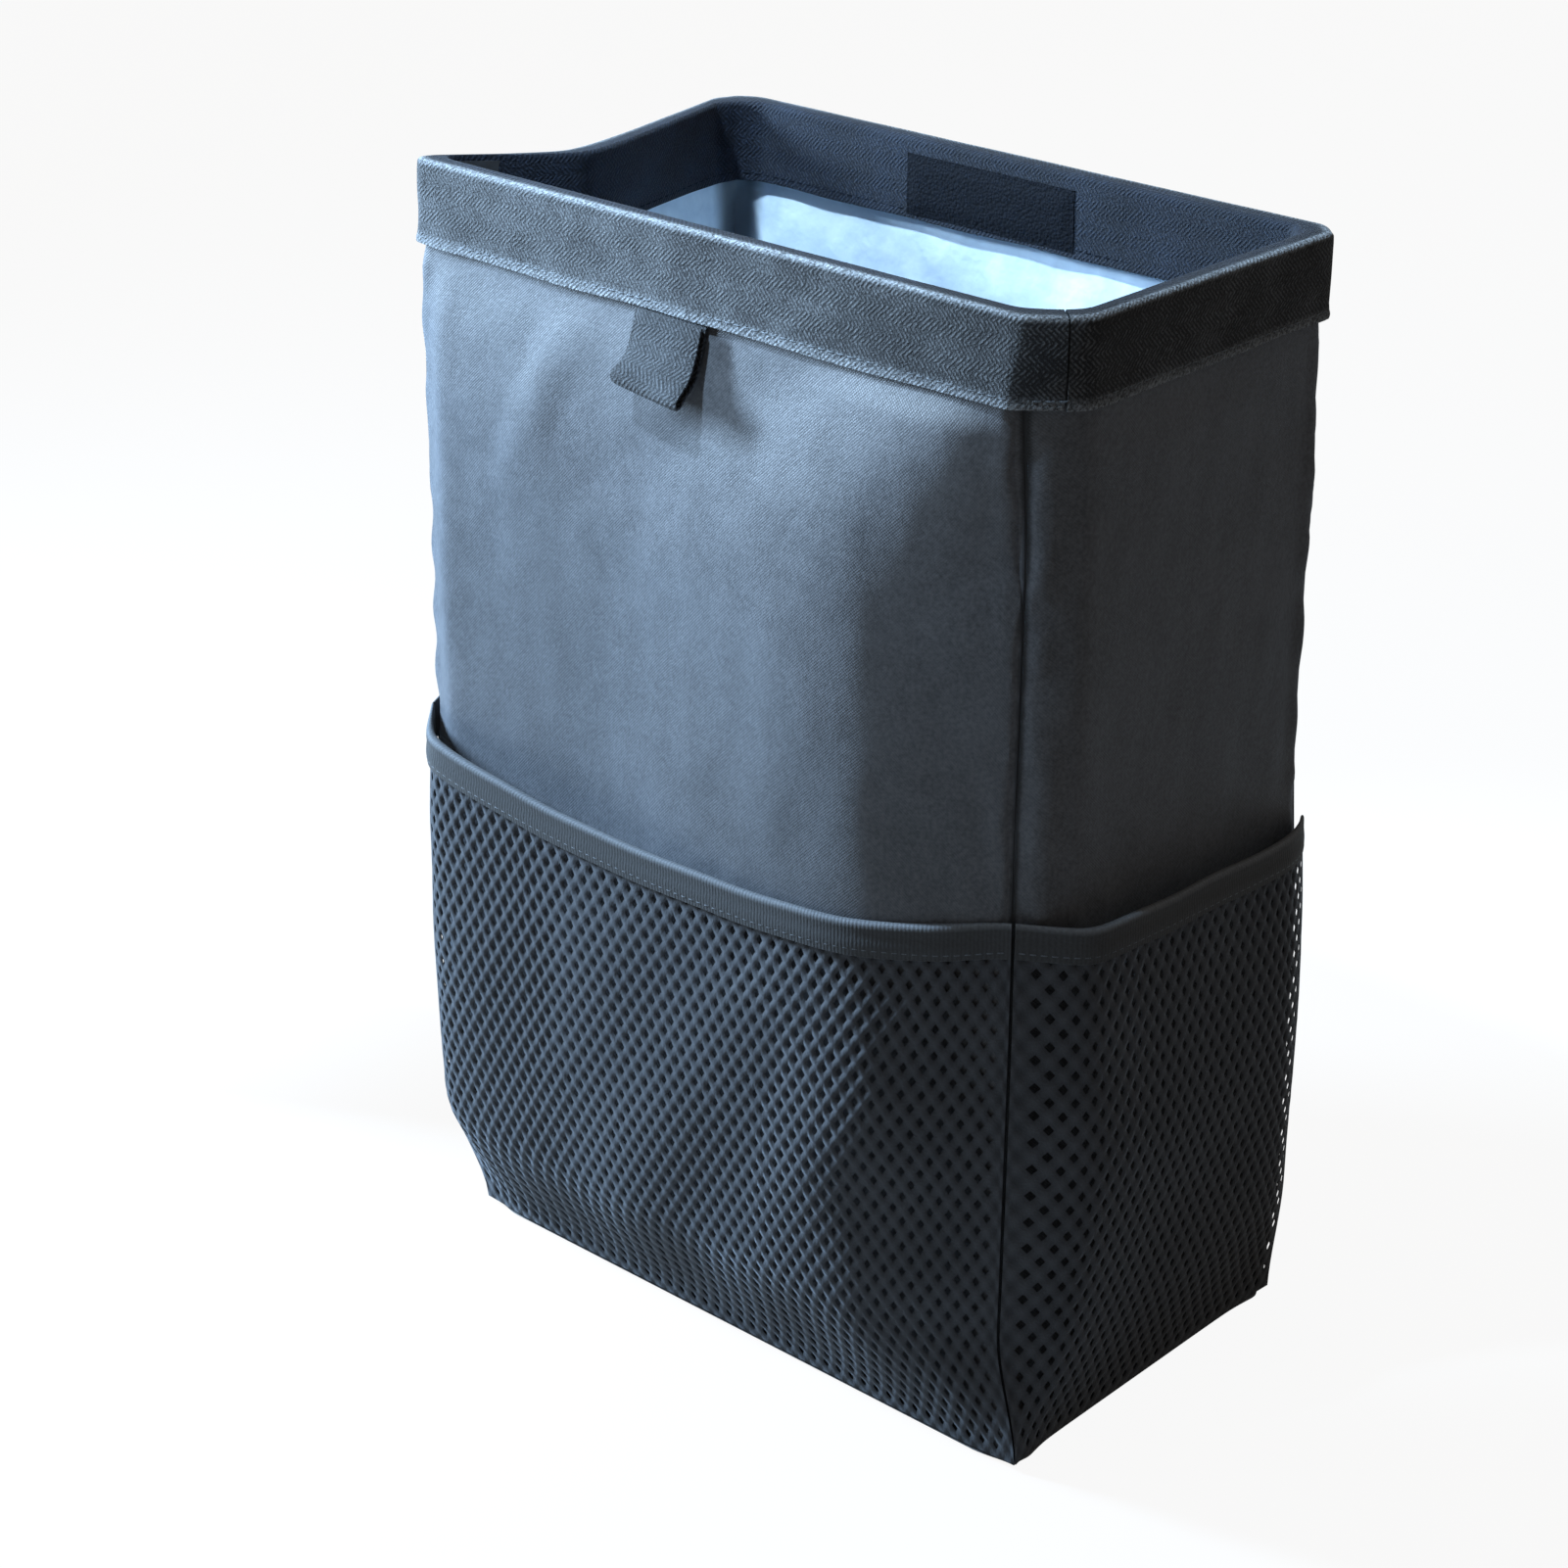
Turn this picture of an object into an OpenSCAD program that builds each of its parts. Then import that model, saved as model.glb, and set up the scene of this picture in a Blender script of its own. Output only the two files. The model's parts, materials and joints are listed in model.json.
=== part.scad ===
// Soft car trash bin: an open sewn bag with a webbing hem, a wipe-clean liner,
// three mesh pockets on the outside and a pull tab on the front.
// Origin: middle of the resting face. +Z up, the broad front faces -Y.

/* [Bag body] */
// height from the resting face to the top of the hem
bag_height = 327; // [250:1:400]
// width across the rim, between the side walls
rim_width = 229; // [185:1:280]
// depth across the rim, between front and back
rim_depth = 121; // [98:1:150]
// width across the base
base_width = 223; // [180:1:270]
// depth across the base
base_depth = 125; // [100:1:155]
// thickness of the outer cloth
cloth = 0.9; // [0.6:0.05:1.4]
// thickness of the bottom cloth
bottom_cloth = 1.2; // [0.8:0.05:1.8]
// how far the front wall bulges forwards
front_bulge = 8; // [5:0.5:12]
// how far the left rim is pushed inwards
rim_pinch = 23; // [8:0.5:28]
// air left between layers that are sewn together
layer_gap = 0.28; // [0.2:0.01:0.4]

/* [Hem and rim] */
// height of the outer leg of the folded hem webbing
hem_height = 24; // [18:0.5:32]
// height of the inner leg of the folded hem webbing
hem_inner_height = 24; // [18:0.5:32]
// thickness of the hem webbing
webbing = 1.1; // [0.8:0.05:2]
// height of the stiff strip inside the hem
frame_height = 18; // [12:0.5:22]
// thickness of the stiff strip inside the hem
frame_strip = 1; // [0.7:0.05:2]
// where the hem joint sits along the right wall
hem_joint_at = 0.055; // [0.04:0.005:0.2]

/* [Liner and base] */
// thickness of the wipe-clean liner
liner = 0.5; // [0.35:0.05:1]
// thickness of the stiff base board
base_board_thickness = 2; // [1.2:0.1:3]
// width of the tape over each inner seam
seam_tape_width = 18; // [12:0.5:24]
// thickness of the seam tape
seam_tape = 0.4; // [0.3:0.05:0.9]

/* [Pull tab and closure] */
// width of the pull tab webbing
tab_width = 25; // [18:0.5:34]
// how far the pull tab hangs below the hem
tab_drop = 19.5; // [14:0.5:26]
// how far the pull tab stands off the front
tab_lift = 9; // [5:0.25:11]
// thickness of the tab webbing
tab_webbing = 1.2; // [0.8:0.05:1.6]
// length of the closure strips
closure_length = 70; // [50:1:95]
// height of the closure strips
closure_height = 18; // [12:0.5:21]
// thickness of the closure strips
closure_thickness = 1.6; // [1:0.1:2.4]
// how far the closure strips sit below the top of the hem
closure_drop = 4.5; // [3.5:0.25:6]

/* [Mesh pockets] */
// height of the front pocket at the seams
front_pocket_height = 162; // [130:1:200]
// how far the front pocket edge sags in the middle
front_pocket_sag = 10; // [4:0.5:16]
// how much higher the side pockets start than the front pocket at their shared seam
side_pocket_step = 0; // [-8:0.5:8]
// how much lower the side pockets end at the back seam
side_pocket_fall = 6; // [2:0.5:10]
// depth of the mouth of the front pocket
front_mouth_depth = 8; // [5:0.25:10]
// depth of the mouth of each side pocket
side_mouth_depth = 8.5; // [5:0.25:10]
// fullest depth of the front pocket
front_pocket_depth = 10; // [7:0.25:13]
// fullest depth of each side pocket
side_pocket_depth = 12; // [8:0.25:15]
// thickness of the mesh
mesh = 0.7; // [0.5:0.05:1.2]
// size of a mesh opening as a share of its cell
mesh_open = 0.62; // [0.5:0.01:0.75]
// height of the binding folded over each pocket edge
binding_height = 9; // [7:0.25:12]
// thickness of the pocket binding
binding = 0.6; // [0.4:0.05:1.1]

/* [Hidden] */

// corners run front left, front right, back right, back left;
// walls run front, right, back, left, each from one corner to the next
sx = [-1, 1, 1, -1];
sy = [-1, -1, 1, 1];
// slouch of the sewn bag: how far each corner leans out at base and rim
base_lean = [[0.5, -1.2], [2.5, -1.2], [-2, 1], [0, -2]];
rim_lean = [[2.5, -0.5], [1, 0.8], [-2.6, -2.9], [-5.5, -1.5]];
// how far each seam is drawn in from its corner: rim, upper half, lower half, base
rim_in = [[1.5, 1.5], [12, 0.8], [2.9, 2.6], [6, 4]];
upper_in = [[-0.6, 0.2], [12, 4.5], [1.2, 1.2], [2, 2]];
lower_in = [[-0.8, -3], [9, 1.5], [-1.2, -1.2], [-1, 0]];
base_in = [[14, 0], [0, 0], [0.7, 0.7], [2, 1]];
// outward swell of each wall at mid height and at the base
mid_crown = [front_bulge, -2, 2, 1];
base_crown = [0, -3, 0, -4];
// run from the seam to the flat of each wall: mid height, base, rim
mid_run = [[14, 52], [13, 16], [26, 26], [20, 14]];
base_run = [[18, 18], [16, 18], [18, 18], [18, 20]];
rim_run = [[4, 5], [15, 4], [5, 9], [9, 4]];

// heights where the wall changes character
hem_zone = bag_height * 0.214;
base_zone = bag_height * 0.12;
waist = bag_height * 0.46;
fold_zone = bag_height * 0.46;
// the fold: where its point lies on the left wall, and how round the point is
fold_at = 0.7;
fold_round = 0.15;

function ease(x) = let(t = min(max(x, 0), 1)) t * t * (3 - 2 * t);
function softplus(v) = (v + sqrt(v * v + 0.05)) / 2;
function fall(e, run) = softplus(1 - e / run) / softplus(1);
function curl(e, run) = pow(1 - min(e / run, 1), 2);

function rim_share(z) = ease((z - bag_height + hem_zone) / hem_zone);
function base_share(z) = 1 - ease(z / base_zone);
function low_share(z) = 1 - ease((z - waist + base_zone) / (2 * base_zone));

// how far corner k is drawn in at height z, as [x, y]
function seam_in(k, z) =
  let(r = rim_share(z), b = base_share(z), m = (1 - r) * (1 - b), l = low_share(z))
  r * rim_in[k] + b * base_in[k] + m * (l * lower_in[k] + (1 - l) * upper_in[k]);

// where the corner would be if the bag were a plain box
function box_corner(k, z) =
  let(t = z / bag_height,
      w = base_width + (rim_width - base_width) * t,
      d = base_depth + (rim_depth - base_depth) * t,
      lean = base_lean[k] + (rim_lean[k] - base_lean[k]) * t)
  [sx[k] * (w / 2 + lean[0]), sy[k] * (d / 2 + lean[1])];

// inward fold of the left wall below the rim
function fold(u, z) =
  let(q = u < fold_at ? (fold_at - u) / fold_at : (u - fold_at) / (1 - fold_at),
      s = ease((z - bag_height + fold_zone) / fold_zone))
  rim_pinch * s * (1 + fold_round / 2 - sqrt(q * q + fold_round * fold_round)) / (1 - fold_round / 2)
  * ease(min(u, 1 - u) / 0.05);

// point of wall i, at share u of its width and height z, moved out by off
function skin(i, u, z, off) =
  let(a = i, b = (i + 1) % 4, axis = i % 2 == 0 ? 1 : 0, along = 1 - axis,
      sgn = (i == 0 || i == 3) ? -1 : 1,
      ca = box_corner(a, z), cb = box_corner(b, z),
      na = seam_in(a, z), nb = seam_in(b, z),
      r = rim_share(z), bs = base_share(z), m = (1 - r) * (1 - bs),
      crown = m * mid_crown[i] + bs * base_crown[i],
      span = abs(cb[along] - ca[along]),
      plane = sgn * (ca[axis] + (cb[axis] - ca[axis]) * u) + crown,
      ea = u * span, eb = (1 - u) * span,
      ga = r * curl(ea, rim_run[i][0]) + bs * fall(ea, base_run[i][0])
         + m * fall(ea, mid_run[i][0]),
      gb = r * curl(eb, rim_run[i][1]) + bs * fall(eb, base_run[i][1])
         + m * fall(eb, mid_run[i][1]),
      depth = plane - (na[axis] + crown) * ga - (nb[axis] + crown) * gb
            - (i == 3 ? fold(u, z) : 0) + off,
      sa = along == 0 ? sx[a] : sy[a], sb = along == 0 ? sx[b] : sy[b],
      pa = ca[along] - sa * (na[along] - off),
      pb = cb[along] - sb * (nb[along] - off),
      run = pa + (pb - pa) * u)
  axis == 1 ? [run, sgn * depth, z] : [sgn * depth, run, z];

// solids made of an outer and an inner grid of points, rows by columns
function pair(a, b, c, d) = [[a, b, c], [a, c, d]];
module sheet(outer, inner, closed = false) {
  nr = len(outer);
  nc = len(outer[0]);
  n = nr * nc;
  last = closed ? nc - 1 : nc - 2;
  points = concat([for (r = outer) each r], [for (r = inner) each r]);
  faces = concat(
    [for (r = [0:nr - 2]) for (c = [0:last]) let(d = (c + 1) % nc)
      each pair(r * nc + c, (r + 1) * nc + c, (r + 1) * nc + d, r * nc + d)],
    [for (r = [0:nr - 2]) for (c = [0:last]) let(d = (c + 1) % nc)
      each pair(n + r * nc + c, n + r * nc + d, n + (r + 1) * nc + d, n + (r + 1) * nc + c)],
    [for (c = [0:last]) let(d = (c + 1) % nc)
      each pair(c, d, n + d, n + c)],
    [for (c = [0:last]) let(d = (c + 1) % nc, t = (nr - 1) * nc)
      each pair(t + c, n + t + c, n + t + d, t + d)],
    closed ? [] : [for (r = [0:nr - 2])
      each pair(r * nc, n + r * nc, n + (r + 1) * nc, (r + 1) * nc)],
    closed ? [] : [for (r = [0:nr - 2]) let(e = nc - 1)
      each pair(r * nc + e, (r + 1) * nc + e, n + (r + 1) * nc + e, n + r * nc + e)]);
  polyhedron(points = points, faces = faces, convexity = 10);
}

// every layer is built on one grid of columns and rows, so that layers stay parallel
function columns(n) = [for (c = [0:n]) let(t = c / n) t - sin(360 * t) * 0.075];
wall_columns = [columns(16), columns(13), columns(10), columns(14)];
function between(grid, from, to) = concat([from], [for (g = grid) if (g > from && g < to) g], [to]);
function cell(grid, v) = max(0, min(len([for (g = grid) if (g <= v) 1]) - 1, len(grid) - 2));

// layers, measured outwards from the outer face of the cloth
tape_out = -cloth - layer_gap;
liner_out = tape_out - seam_tape - layer_gap * 1.5;
frame_out = liner_out - liner - layer_gap;
hem_in = frame_out - frame_strip - layer_gap;
closure_out = hem_in - webbing - layer_gap;
pocket_base = layer_gap * 2.5;

wall_start = bottom_cloth + layer_gap;
wall_end = bag_height - webbing - layer_gap;
seam_slit = 0.0014;
hem_start = bag_height - hem_height;
grid_rows = concat(
  [for (t = [0, 0.018, 0.04, 0.068, 0.1, 0.165, 0.26, 0.37, 0.47, 0.56, 0.66, 0.76, 0.845, 0.9, 0.95])
    wall_start + (hem_start - wall_start) * t],
  [for (t = [0, 0.25, 0.5, 0.75, 1]) hem_start + (wall_end - hem_start) * t]);

// point of a wall on the grid's own flat facets, at any share u and height z
function shell(i, u, z, off) =
  let(cols = wall_columns[i], c = cell(cols, u), tu = (u - cols[c]) / (cols[c + 1] - cols[c]),
      r = cell(grid_rows, z), tz = (z - grid_rows[r]) / (grid_rows[r + 1] - grid_rows[r]),
      low = z > wall_end ? z : grid_rows[r], high = z > wall_end ? z : grid_rows[r + 1],
      a = skin(i, cols[c], low, off), b = skin(i, cols[c + 1], low, off),
      d = skin(i, cols[c], high, off), e = skin(i, cols[c + 1], high, off),
      t = z > wall_end ? 0 : tz,
      low_point = a + (b - a) * tu, high_point = d + (e - d) * tu)
  low_point + (high_point - low_point) * t;

// sheet of cloth on wall i, from share ua to ub and height za to zb
module patch(i, ua, ub, za, zb, out, thick) {
  us = between(wall_columns[i], ua, ub);
  zs = between(grid_rows, za, zb);
  sheet([for (z = zs) [for (u = us) shell(i, u, z, out)]],
        [for (z = zs) [for (u = us) shell(i, u, z, out - thick)]]);
}
module wall_panel(i) patch(i, seam_slit, 1 - seam_slit, wall_start, wall_end, 0, cloth);

// the closed outline of the bag at height z
function ring(z, off) =
  [for (i = [0:3]) for (c = [0:len(wall_columns[i]) - 2]) shell(i, wall_columns[i][c], z, off)];
function flat(pts) = [for (p = pts) [p[0], p[1]]];

module front_panel() color("#3d4350") wall_panel(0);
module right_side_panel() color("#2f3034") wall_panel(1);
module back_panel() color("#34373f") wall_panel(2);
module left_side_panel() color("#2f3034") wall_panel(3);

module bottom_panel() color("#2b2c30")
  linear_extrude(bottom_cloth)
    polygon(flat(ring(wall_start, pocket_base + mesh)));

board_start = bottom_cloth + layer_gap;
module base_board() color("#1f1f21")
  translate([0, 0, board_start])
    linear_extrude(base_board_thickness)
      polygon(flat(ring(wall_start, liner_out - layer_gap)));

// liner: one cup, its floor resting on the board
liner_start = board_start + base_board_thickness + layer_gap;
module liner() color("#dfe6ea") {
  top = wall_end - layer_gap;
  zs = between(grid_rows, liner_start, top);
  zi = concat([liner_start + liner], between(grid_rows, liner_start + liner * 1.5, top));
  out = [for (z = zs) ring(z, liner_out)];
  inn = [for (z = zi) ring(z, liner_out - liner)];
  nr = len(zs);
  ni = len(zi);
  nc = len(out[0]);
  n = nr * nc;
  t = (nr - 1) * nc;
  ti = (ni - 1) * nc;
  centre = n + ni * nc;
  points = concat([for (r = out) each r], [for (r = inn) each r],
                  [[0, 0, zs[0]], [0, 0, zi[0]]]);
  faces = concat(
    [for (r = [0:nr - 2]) for (c = [0:nc - 1]) let(d = (c + 1) % nc)
      each pair(r * nc + c, (r + 1) * nc + c, (r + 1) * nc + d, r * nc + d)],
    [for (r = [0:ni - 2]) for (c = [0:nc - 1]) let(d = (c + 1) % nc)
      each pair(n + r * nc + c, n + r * nc + d, n + (r + 1) * nc + d, n + (r + 1) * nc + c)],
    [for (c = [0:nc - 1]) let(d = (c + 1) % nc)
      each pair(t + c, n + ti + c, n + ti + d, t + d)],
    [for (c = [0:nc - 1]) [centre, c, (c + 1) % nc]],
    [for (c = [0:nc - 1]) [centre + 1, n + (c + 1) % nc, n + c]]);
  polyhedron(points = points, faces = faces, convexity = 10);
}

module rim_frame() color("#5a5f66") {
  zs = between(grid_rows, wall_end - layer_gap - frame_height, wall_end - layer_gap);
  sheet([for (z = zs) ring(z, frame_out)],
        [for (z = zs) ring(z, frame_out - frame_strip)], closed = true);
}

// hem: one length of webbing folded over the rim, its ends meeting past a corner
joint_slit = 0.25;
function hem_walk() =
  let(slit = joint_slit / rim_depth)
  concat([for (u = between(wall_columns[1], hem_joint_at + slit, 1)) [1, u]],
         [for (i = [2, 3, 0]) for (c = [1:len(wall_columns[i]) - 1]) [i, wall_columns[i][c]]],
         [for (u = between(wall_columns[1], 0, hem_joint_at - slit)) if (u > 0) [1, u]]);
module hem_webbing() color("#3a4048") {
  top = bag_height;
  leg = between(grid_rows, hem_start, wall_end);
  inner_leg = between(grid_rows, top - hem_inner_height, wall_end);
  no = len(leg);
  ni = len(inner_leg);
  out_face = layer_gap + webbing;
  in_face = hem_in - webbing;
  bend = webbing + layer_gap;
  turn = [30, 60, 90];
  back = [90, 60, 30];
  outer_path = concat([for (z = leg) [out_face, z]],
    [for (a = turn) [out_face - bend * (1 - cos(a)), top - bend * (1 - sin(a))]],
    [for (a = back) [in_face + bend * (1 - cos(a)), top - bend * (1 - sin(a))]],
    [for (j = [ni - 1:-1:0]) [in_face, inner_leg[j]]]);
  low = top - webbing;
  inner_path = concat([for (z = leg) [layer_gap, z - (z == wall_end ? 0.4 : 0)]],
    [for (a = turn) [layer_gap * cos(a), low - layer_gap * (1 - sin(a))]],
    [for (a = back) [hem_in + layer_gap * (1 - cos(a)), low - layer_gap * (1 - sin(a))]],
    [for (j = [ni - 1:-1:0]) [hem_in, inner_leg[j] - (j == ni - 1 ? 0.4 : 0)]]);
  walk = hem_walk();
  sheet([for (p = outer_path) [for (w = walk) shell(w[0], w[1], p[1], p[0])]],
        [for (p = inner_path) [for (w = walk) shell(w[0], w[1], p[1], p[0])]]);
}

// pull tab: a short loop of webbing sewn on just under the hem
tab_centre = 0.47;
module pull_tab() color("#3c434d") {
  half = tab_width / 2 / rim_width;
  us = between(wall_columns[0], tab_centre - half, tab_centre + half);
  top = bag_height - hem_height - layer_gap;
  low = top - tab_drop;
  t = tab_webbing;
  out_path = [
    [layer_gap, top],
    [tab_lift - 2 * t - 1.6, low + 3],
    [tab_lift - 1.6 * t, low],
    [tab_lift - 0.2 * t, low + 0.3],
    [tab_lift + 0.3 * t, low + 3],
    [layer_gap + 2 * t + 0.5, top]];
  in_path = [
    [layer_gap + t, top],
    [tab_lift - t - 1.6, low + 3],
    [tab_lift - 1.3 * t, low + t],
    [tab_lift - 0.9 * t, low + t + 0.2],
    [tab_lift - 0.7 * t, low + 3],
    [layer_gap + t + 0.5, top]];
  sheet([for (p = in_path) [for (u = us) shell(0, u, p[1], p[0])]],
        [for (p = out_path) [for (u = us) shell(0, u, p[1], p[0])]]);
}

// closure strips, inside the hem: loop on the back wall, hook on the front
module closure(i, centre) {
  half = closure_length / 2 / rim_width;
  top = bag_height - closure_drop;
  patch(i, centre - half, centre + half, top - closure_height, top, closure_out, closure_thickness);
}
module closure_loop_strip() color("#26282d") closure(2, 0.53);
module closure_hook_strip() color("#1f2023") closure(0, 0.47);

// pockets: upper edge, room behind the mesh, and the mesh itself
side_pocket_height = front_pocket_height + side_pocket_step;
function pocket_top(i, u) =
  i == 0 ? front_pocket_height - front_pocket_sag * 4 * u * (1 - u)
  : side_pocket_height - side_pocket_fall * (i == 1 ? u : 1 - u);
pocket_mouth = [front_mouth_depth, side_mouth_depth, 0, side_mouth_depth];
pocket_full = [front_pocket_depth, side_pocket_depth, 0, side_pocket_depth];
pocket_steep = [9, 6, 0, 5];
// share of its height at which a pocket is fullest
fullest_at = 0.62;
edge_room = binding + layer_gap * 2;
facing = [[0, -1, 0], [1, 0, 0], [0, 1, 0], [-1, 0, 0]];
function seam_room(i, u, z) = edge_room * ease((z / pocket_top(i, u) - 0.7) / 0.15);
function pocket_swell(i, u, z) =
  let(v = z / pocket_top(i, u),
      full = pocket_full[i],
      mouth = pocket_mouth[i],
      shape = v < fullest_at ? full * sin(90 * max(v, 0) / fullest_at)
            : mouth + (full - mouth) * ease((1 - v) / (1 - fullest_at)),
      across = 1 - pow(abs(2 * u - 1), pocket_steep[i]))
  max(shape - seam_room(i, u, z), 0) * across;
function pocket_point(i, u, z, off) =
  skin(i, u, z, pocket_base + seam_room(i, u, z) + off) + facing[i] * pocket_swell(i, u, z);
function mesh_point(i, u, z, out) = pocket_point(i, u, z, out ? mesh : 0);

// mesh: a diamond net, nw half cells wide and nh half cells high,
// with a plain selvedge at both seams and a plain top edge
selvedge = 5;
net_across = [22, 12, 0, 12];
net_up = 12;
function net_column(i, nw, x) =
  let(e = selvedge / (i % 2 == 0 ? base_width : base_depth))
  x == 0 ? seam_slit * 1.6 : x == nw + 2 ? 1 - seam_slit * 1.6 : e + (1 - 2 * e) * (x - 1) / nw;
module net(i) {
  nw = net_across[i];
  nh = net_up;
  function lattice_u(x) = net_column(i, nw, x);
  function lattice_z(u, t) =
    wall_start + (pocket_top(i, u) - binding_height - wall_start) * t;
  function at(x, y, out) = let(u = lattice_u(x)) mesh_point(i, u, lattice_z(u, y / nh), out);
  function edge(x, out) = let(u = lattice_u(x)) mesh_point(i, u, pocket_top(i, u), out);
  w = nw + 3;
  right = nw + 1;
  rim_at = w * (nh + 1);
  cells = [for (y = [1:nh - 1]) for (x = [2:nw]) if ((x - 1 + y) % 2 == 1) [x, y]];
  hole_at = rim_at + w;
  side = hole_at + 4 * len(cells);
  f = mesh_open;
  function layer(out) = concat(
    [for (y = [0:nh]) for (x = [0:nw + 2]) at(x, y, out)],
    [for (x = [0:nw + 2]) edge(x, out)],
    [for (c = cells) each [at(c[0] - f, c[1], out), at(c[0], c[1] - f, out),
                           at(c[0] + f, c[1], out), at(c[0], c[1] + f, out)]]);
  function k(x, y) = y * w + x;
  // one face list for the outer layer; the inner layer is the same turned over
  skin_faces = concat(
    [for (j = [0:len(cells) - 1]) let(c = cells[j], h = hole_at + 4 * j,
        q = [k(c[0] - 1, c[1]), k(c[0], c[1] - 1), k(c[0] + 1, c[1]), k(c[0], c[1] + 1)])
      for (s = [0:3]) let(e = (s + 1) % 4) each pair(q[s], h + s, h + e, q[e])],
    [for (x = [1:nw + 1]) if (x % 2 == 0)
      each [[k(x - 1, 0), k(x, 1), k(x, 0)], [k(x, 0), k(x, 1), k(x + 1, 0)]]],
    [for (x = [1:nw + 1]) if ((x - 1 + nh) % 2 == 1)
      each [[k(x - 1, nh), k(x, nh), k(x, nh - 1)], [k(x, nh), k(x + 1, nh), k(x, nh - 1)]]],
    [for (y = [1:nh - 1]) if (y % 2 == 1)
      each [[k(1, y - 1), k(1, y), k(2, y)], [k(1, y), k(1, y + 1), k(2, y)]]],
    [for (y = [1:nh - 1]) if ((nw + y) % 2 == 1)
      each [[k(right, y + 1), k(right, y), k(nw, y)], [k(right, y), k(right, y - 1), k(nw, y)]]],
    [for (y = [0:nh - 1]) each pair(k(0, y), k(0, y + 1), k(1, y + 1), k(1, y))],
    [for (y = [0:nh - 1])
      each pair(k(right, y), k(right, y + 1), k(right + 1, y + 1), k(right + 1, y))],
    [for (x = [0:nw + 1]) each pair(k(x, nh), rim_at + x, rim_at + x + 1, k(x + 1, nh))]);
  function flip(t) = [t[2] + side, t[1] + side, t[0] + side];
  // walk round the outside of the net, anticlockwise seen from outside the bag
  border = concat(
    [for (x = [0:nw + 1]) k(x, 0)],
    [for (y = [0:nh]) k(nw + 2, y)],
    [for (x = [nw + 2:-1:0]) rim_at + x],
    [for (y = [nh:-1:1]) k(0, y)]);
  nb = len(border);
  faces = concat(skin_faces, [for (t = skin_faces) flip(t)],
    [for (j = [0:nb - 1]) let(a = border[j], b = border[(j + 1) % nb])
      each pair(a, b, b + side, a + side)],
    [for (j = [0:len(cells) - 1]) for (s = [0:3])
      let(a = hole_at + 4 * j + s, b = hole_at + 4 * j + (s + 1) % 4)
      each pair(a, a + side, b + side, b)]);
  polyhedron(points = concat(layer(true), layer(false)), faces = faces, convexity = 10);
}
module front_mesh_pocket() color("#33373f") net(0);
module right_mesh_pocket() color("#2a2b2e") net(1);
module left_mesh_pocket() color("#2a2b2e") net(3);

// binding: a tape folded over the pocket edge, one leg each side of the mesh
module pocket_binding(i) {
  nw = net_across[i];
  us = [for (x = [0:nw + 2]) net_column(i, nw, x)];
  h = binding_height;
  g = layer_gap;
  o = g + mesh;
  outer_path = [[o + binding, -h], [o + binding, g + 0.3], [o + binding - 0.5, g + binding],
                [0.5 - g - binding, g + binding], [-g - binding, g + 0.3], [-g - binding, -h]];
  inner_path = [[o, -h], [o, g - 0.1], [o - 0.1, g], [0.1 - g, g], [-g, g - 0.1], [-g, -h]];
  // the legs follow the flat strip of mesh between their lower edge and the pocket edge
  function on(p, u) =
    let(top = pocket_top(i, u), t = min((p[1] + h) / h, 1),
        a = pocket_point(i, u, top - h, p[0]),
        b = pocket_point(i, u, top, p[0]),
        q = a + (b - a) * t)
    [q[0], q[1], top + p[1]];
  sheet([for (p = outer_path) [for (u = us) on(p, u)]],
        [for (p = inner_path) [for (u = us) on(p, u)]]);
}
module front_pocket_binding() color("#41464e") pocket_binding(0);
module right_pocket_binding() color("#303236") pocket_binding(1);
module left_pocket_binding() color("#303236") pocket_binding(3);

// tapes over the inside of the seams
bottom_tape = 11;
module corner_tape(k) {
  before = (k + 3) % 4;
  wa = seam_tape_width / 2 / (before % 2 == 0 ? base_width : base_depth);
  wb = seam_tape_width / 2 / (k % 2 == 0 ? base_width : base_depth);
  walk = concat([for (u = between(wall_columns[before], 1 - wa, 1)) [before, u]],
                [for (u = between(wall_columns[k], 0, wb)) if (u > 0) [k, u]]);
  zs = between(grid_rows, board_start + bottom_tape + layer_gap, wall_end - layer_gap);
  sheet([for (z = zs) [for (w = walk) shell(w[0], w[1], z, tape_out)]],
        [for (z = zs) [for (w = walk) shell(w[0], w[1], z, tape_out - seam_tape)]]);
}
module front_left_seam_tape() color("#1c1d20") corner_tape(0);
module front_right_seam_tape() color("#1c1d20") corner_tape(1);
module back_right_seam_tape() color("#1c1d20") corner_tape(2);
module back_left_seam_tape() color("#1c1d20") corner_tape(3);
module bottom_seam_tape() color("#1c1d20") {
  zs = between(grid_rows, board_start, board_start + bottom_tape);
  sheet([for (z = zs) ring(z, tape_out)],
        [for (z = zs) ring(z, tape_out - seam_tape)], closed = true);
}

front_panel();
back_panel();
left_side_panel();
right_side_panel();
bottom_panel();
base_board();
liner();
rim_frame();
hem_webbing();
pull_tab();
closure_loop_strip();
closure_hook_strip();
front_mesh_pocket();
left_mesh_pocket();
right_mesh_pocket();
front_pocket_binding();
left_pocket_binding();
right_pocket_binding();
front_left_seam_tape();
front_right_seam_tape();
back_left_seam_tape();
back_right_seam_tape();
bottom_seam_tape();
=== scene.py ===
# %% [markdown]
# # A soft car trash bin
#
# The real thing is a sewn bag: four walls of coated cloth, a bottom with a stiff board on it, a
# pale wipe-clean liner, a herringbone webbing folded over the rim, a short pull tab, and a knitted
# mesh pocket with a bound edge on three of the walls.
#
# The construction model already has every layer at its real size and place. Here each layer that
# can be seen is made again as a fine surface, from the same few rules, so that it can carry
# wrinkles, rolled edges, real mesh holes and stitches. What is hidden keeps its plain shape.

# %% Load the construction model
import json
import math

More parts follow.
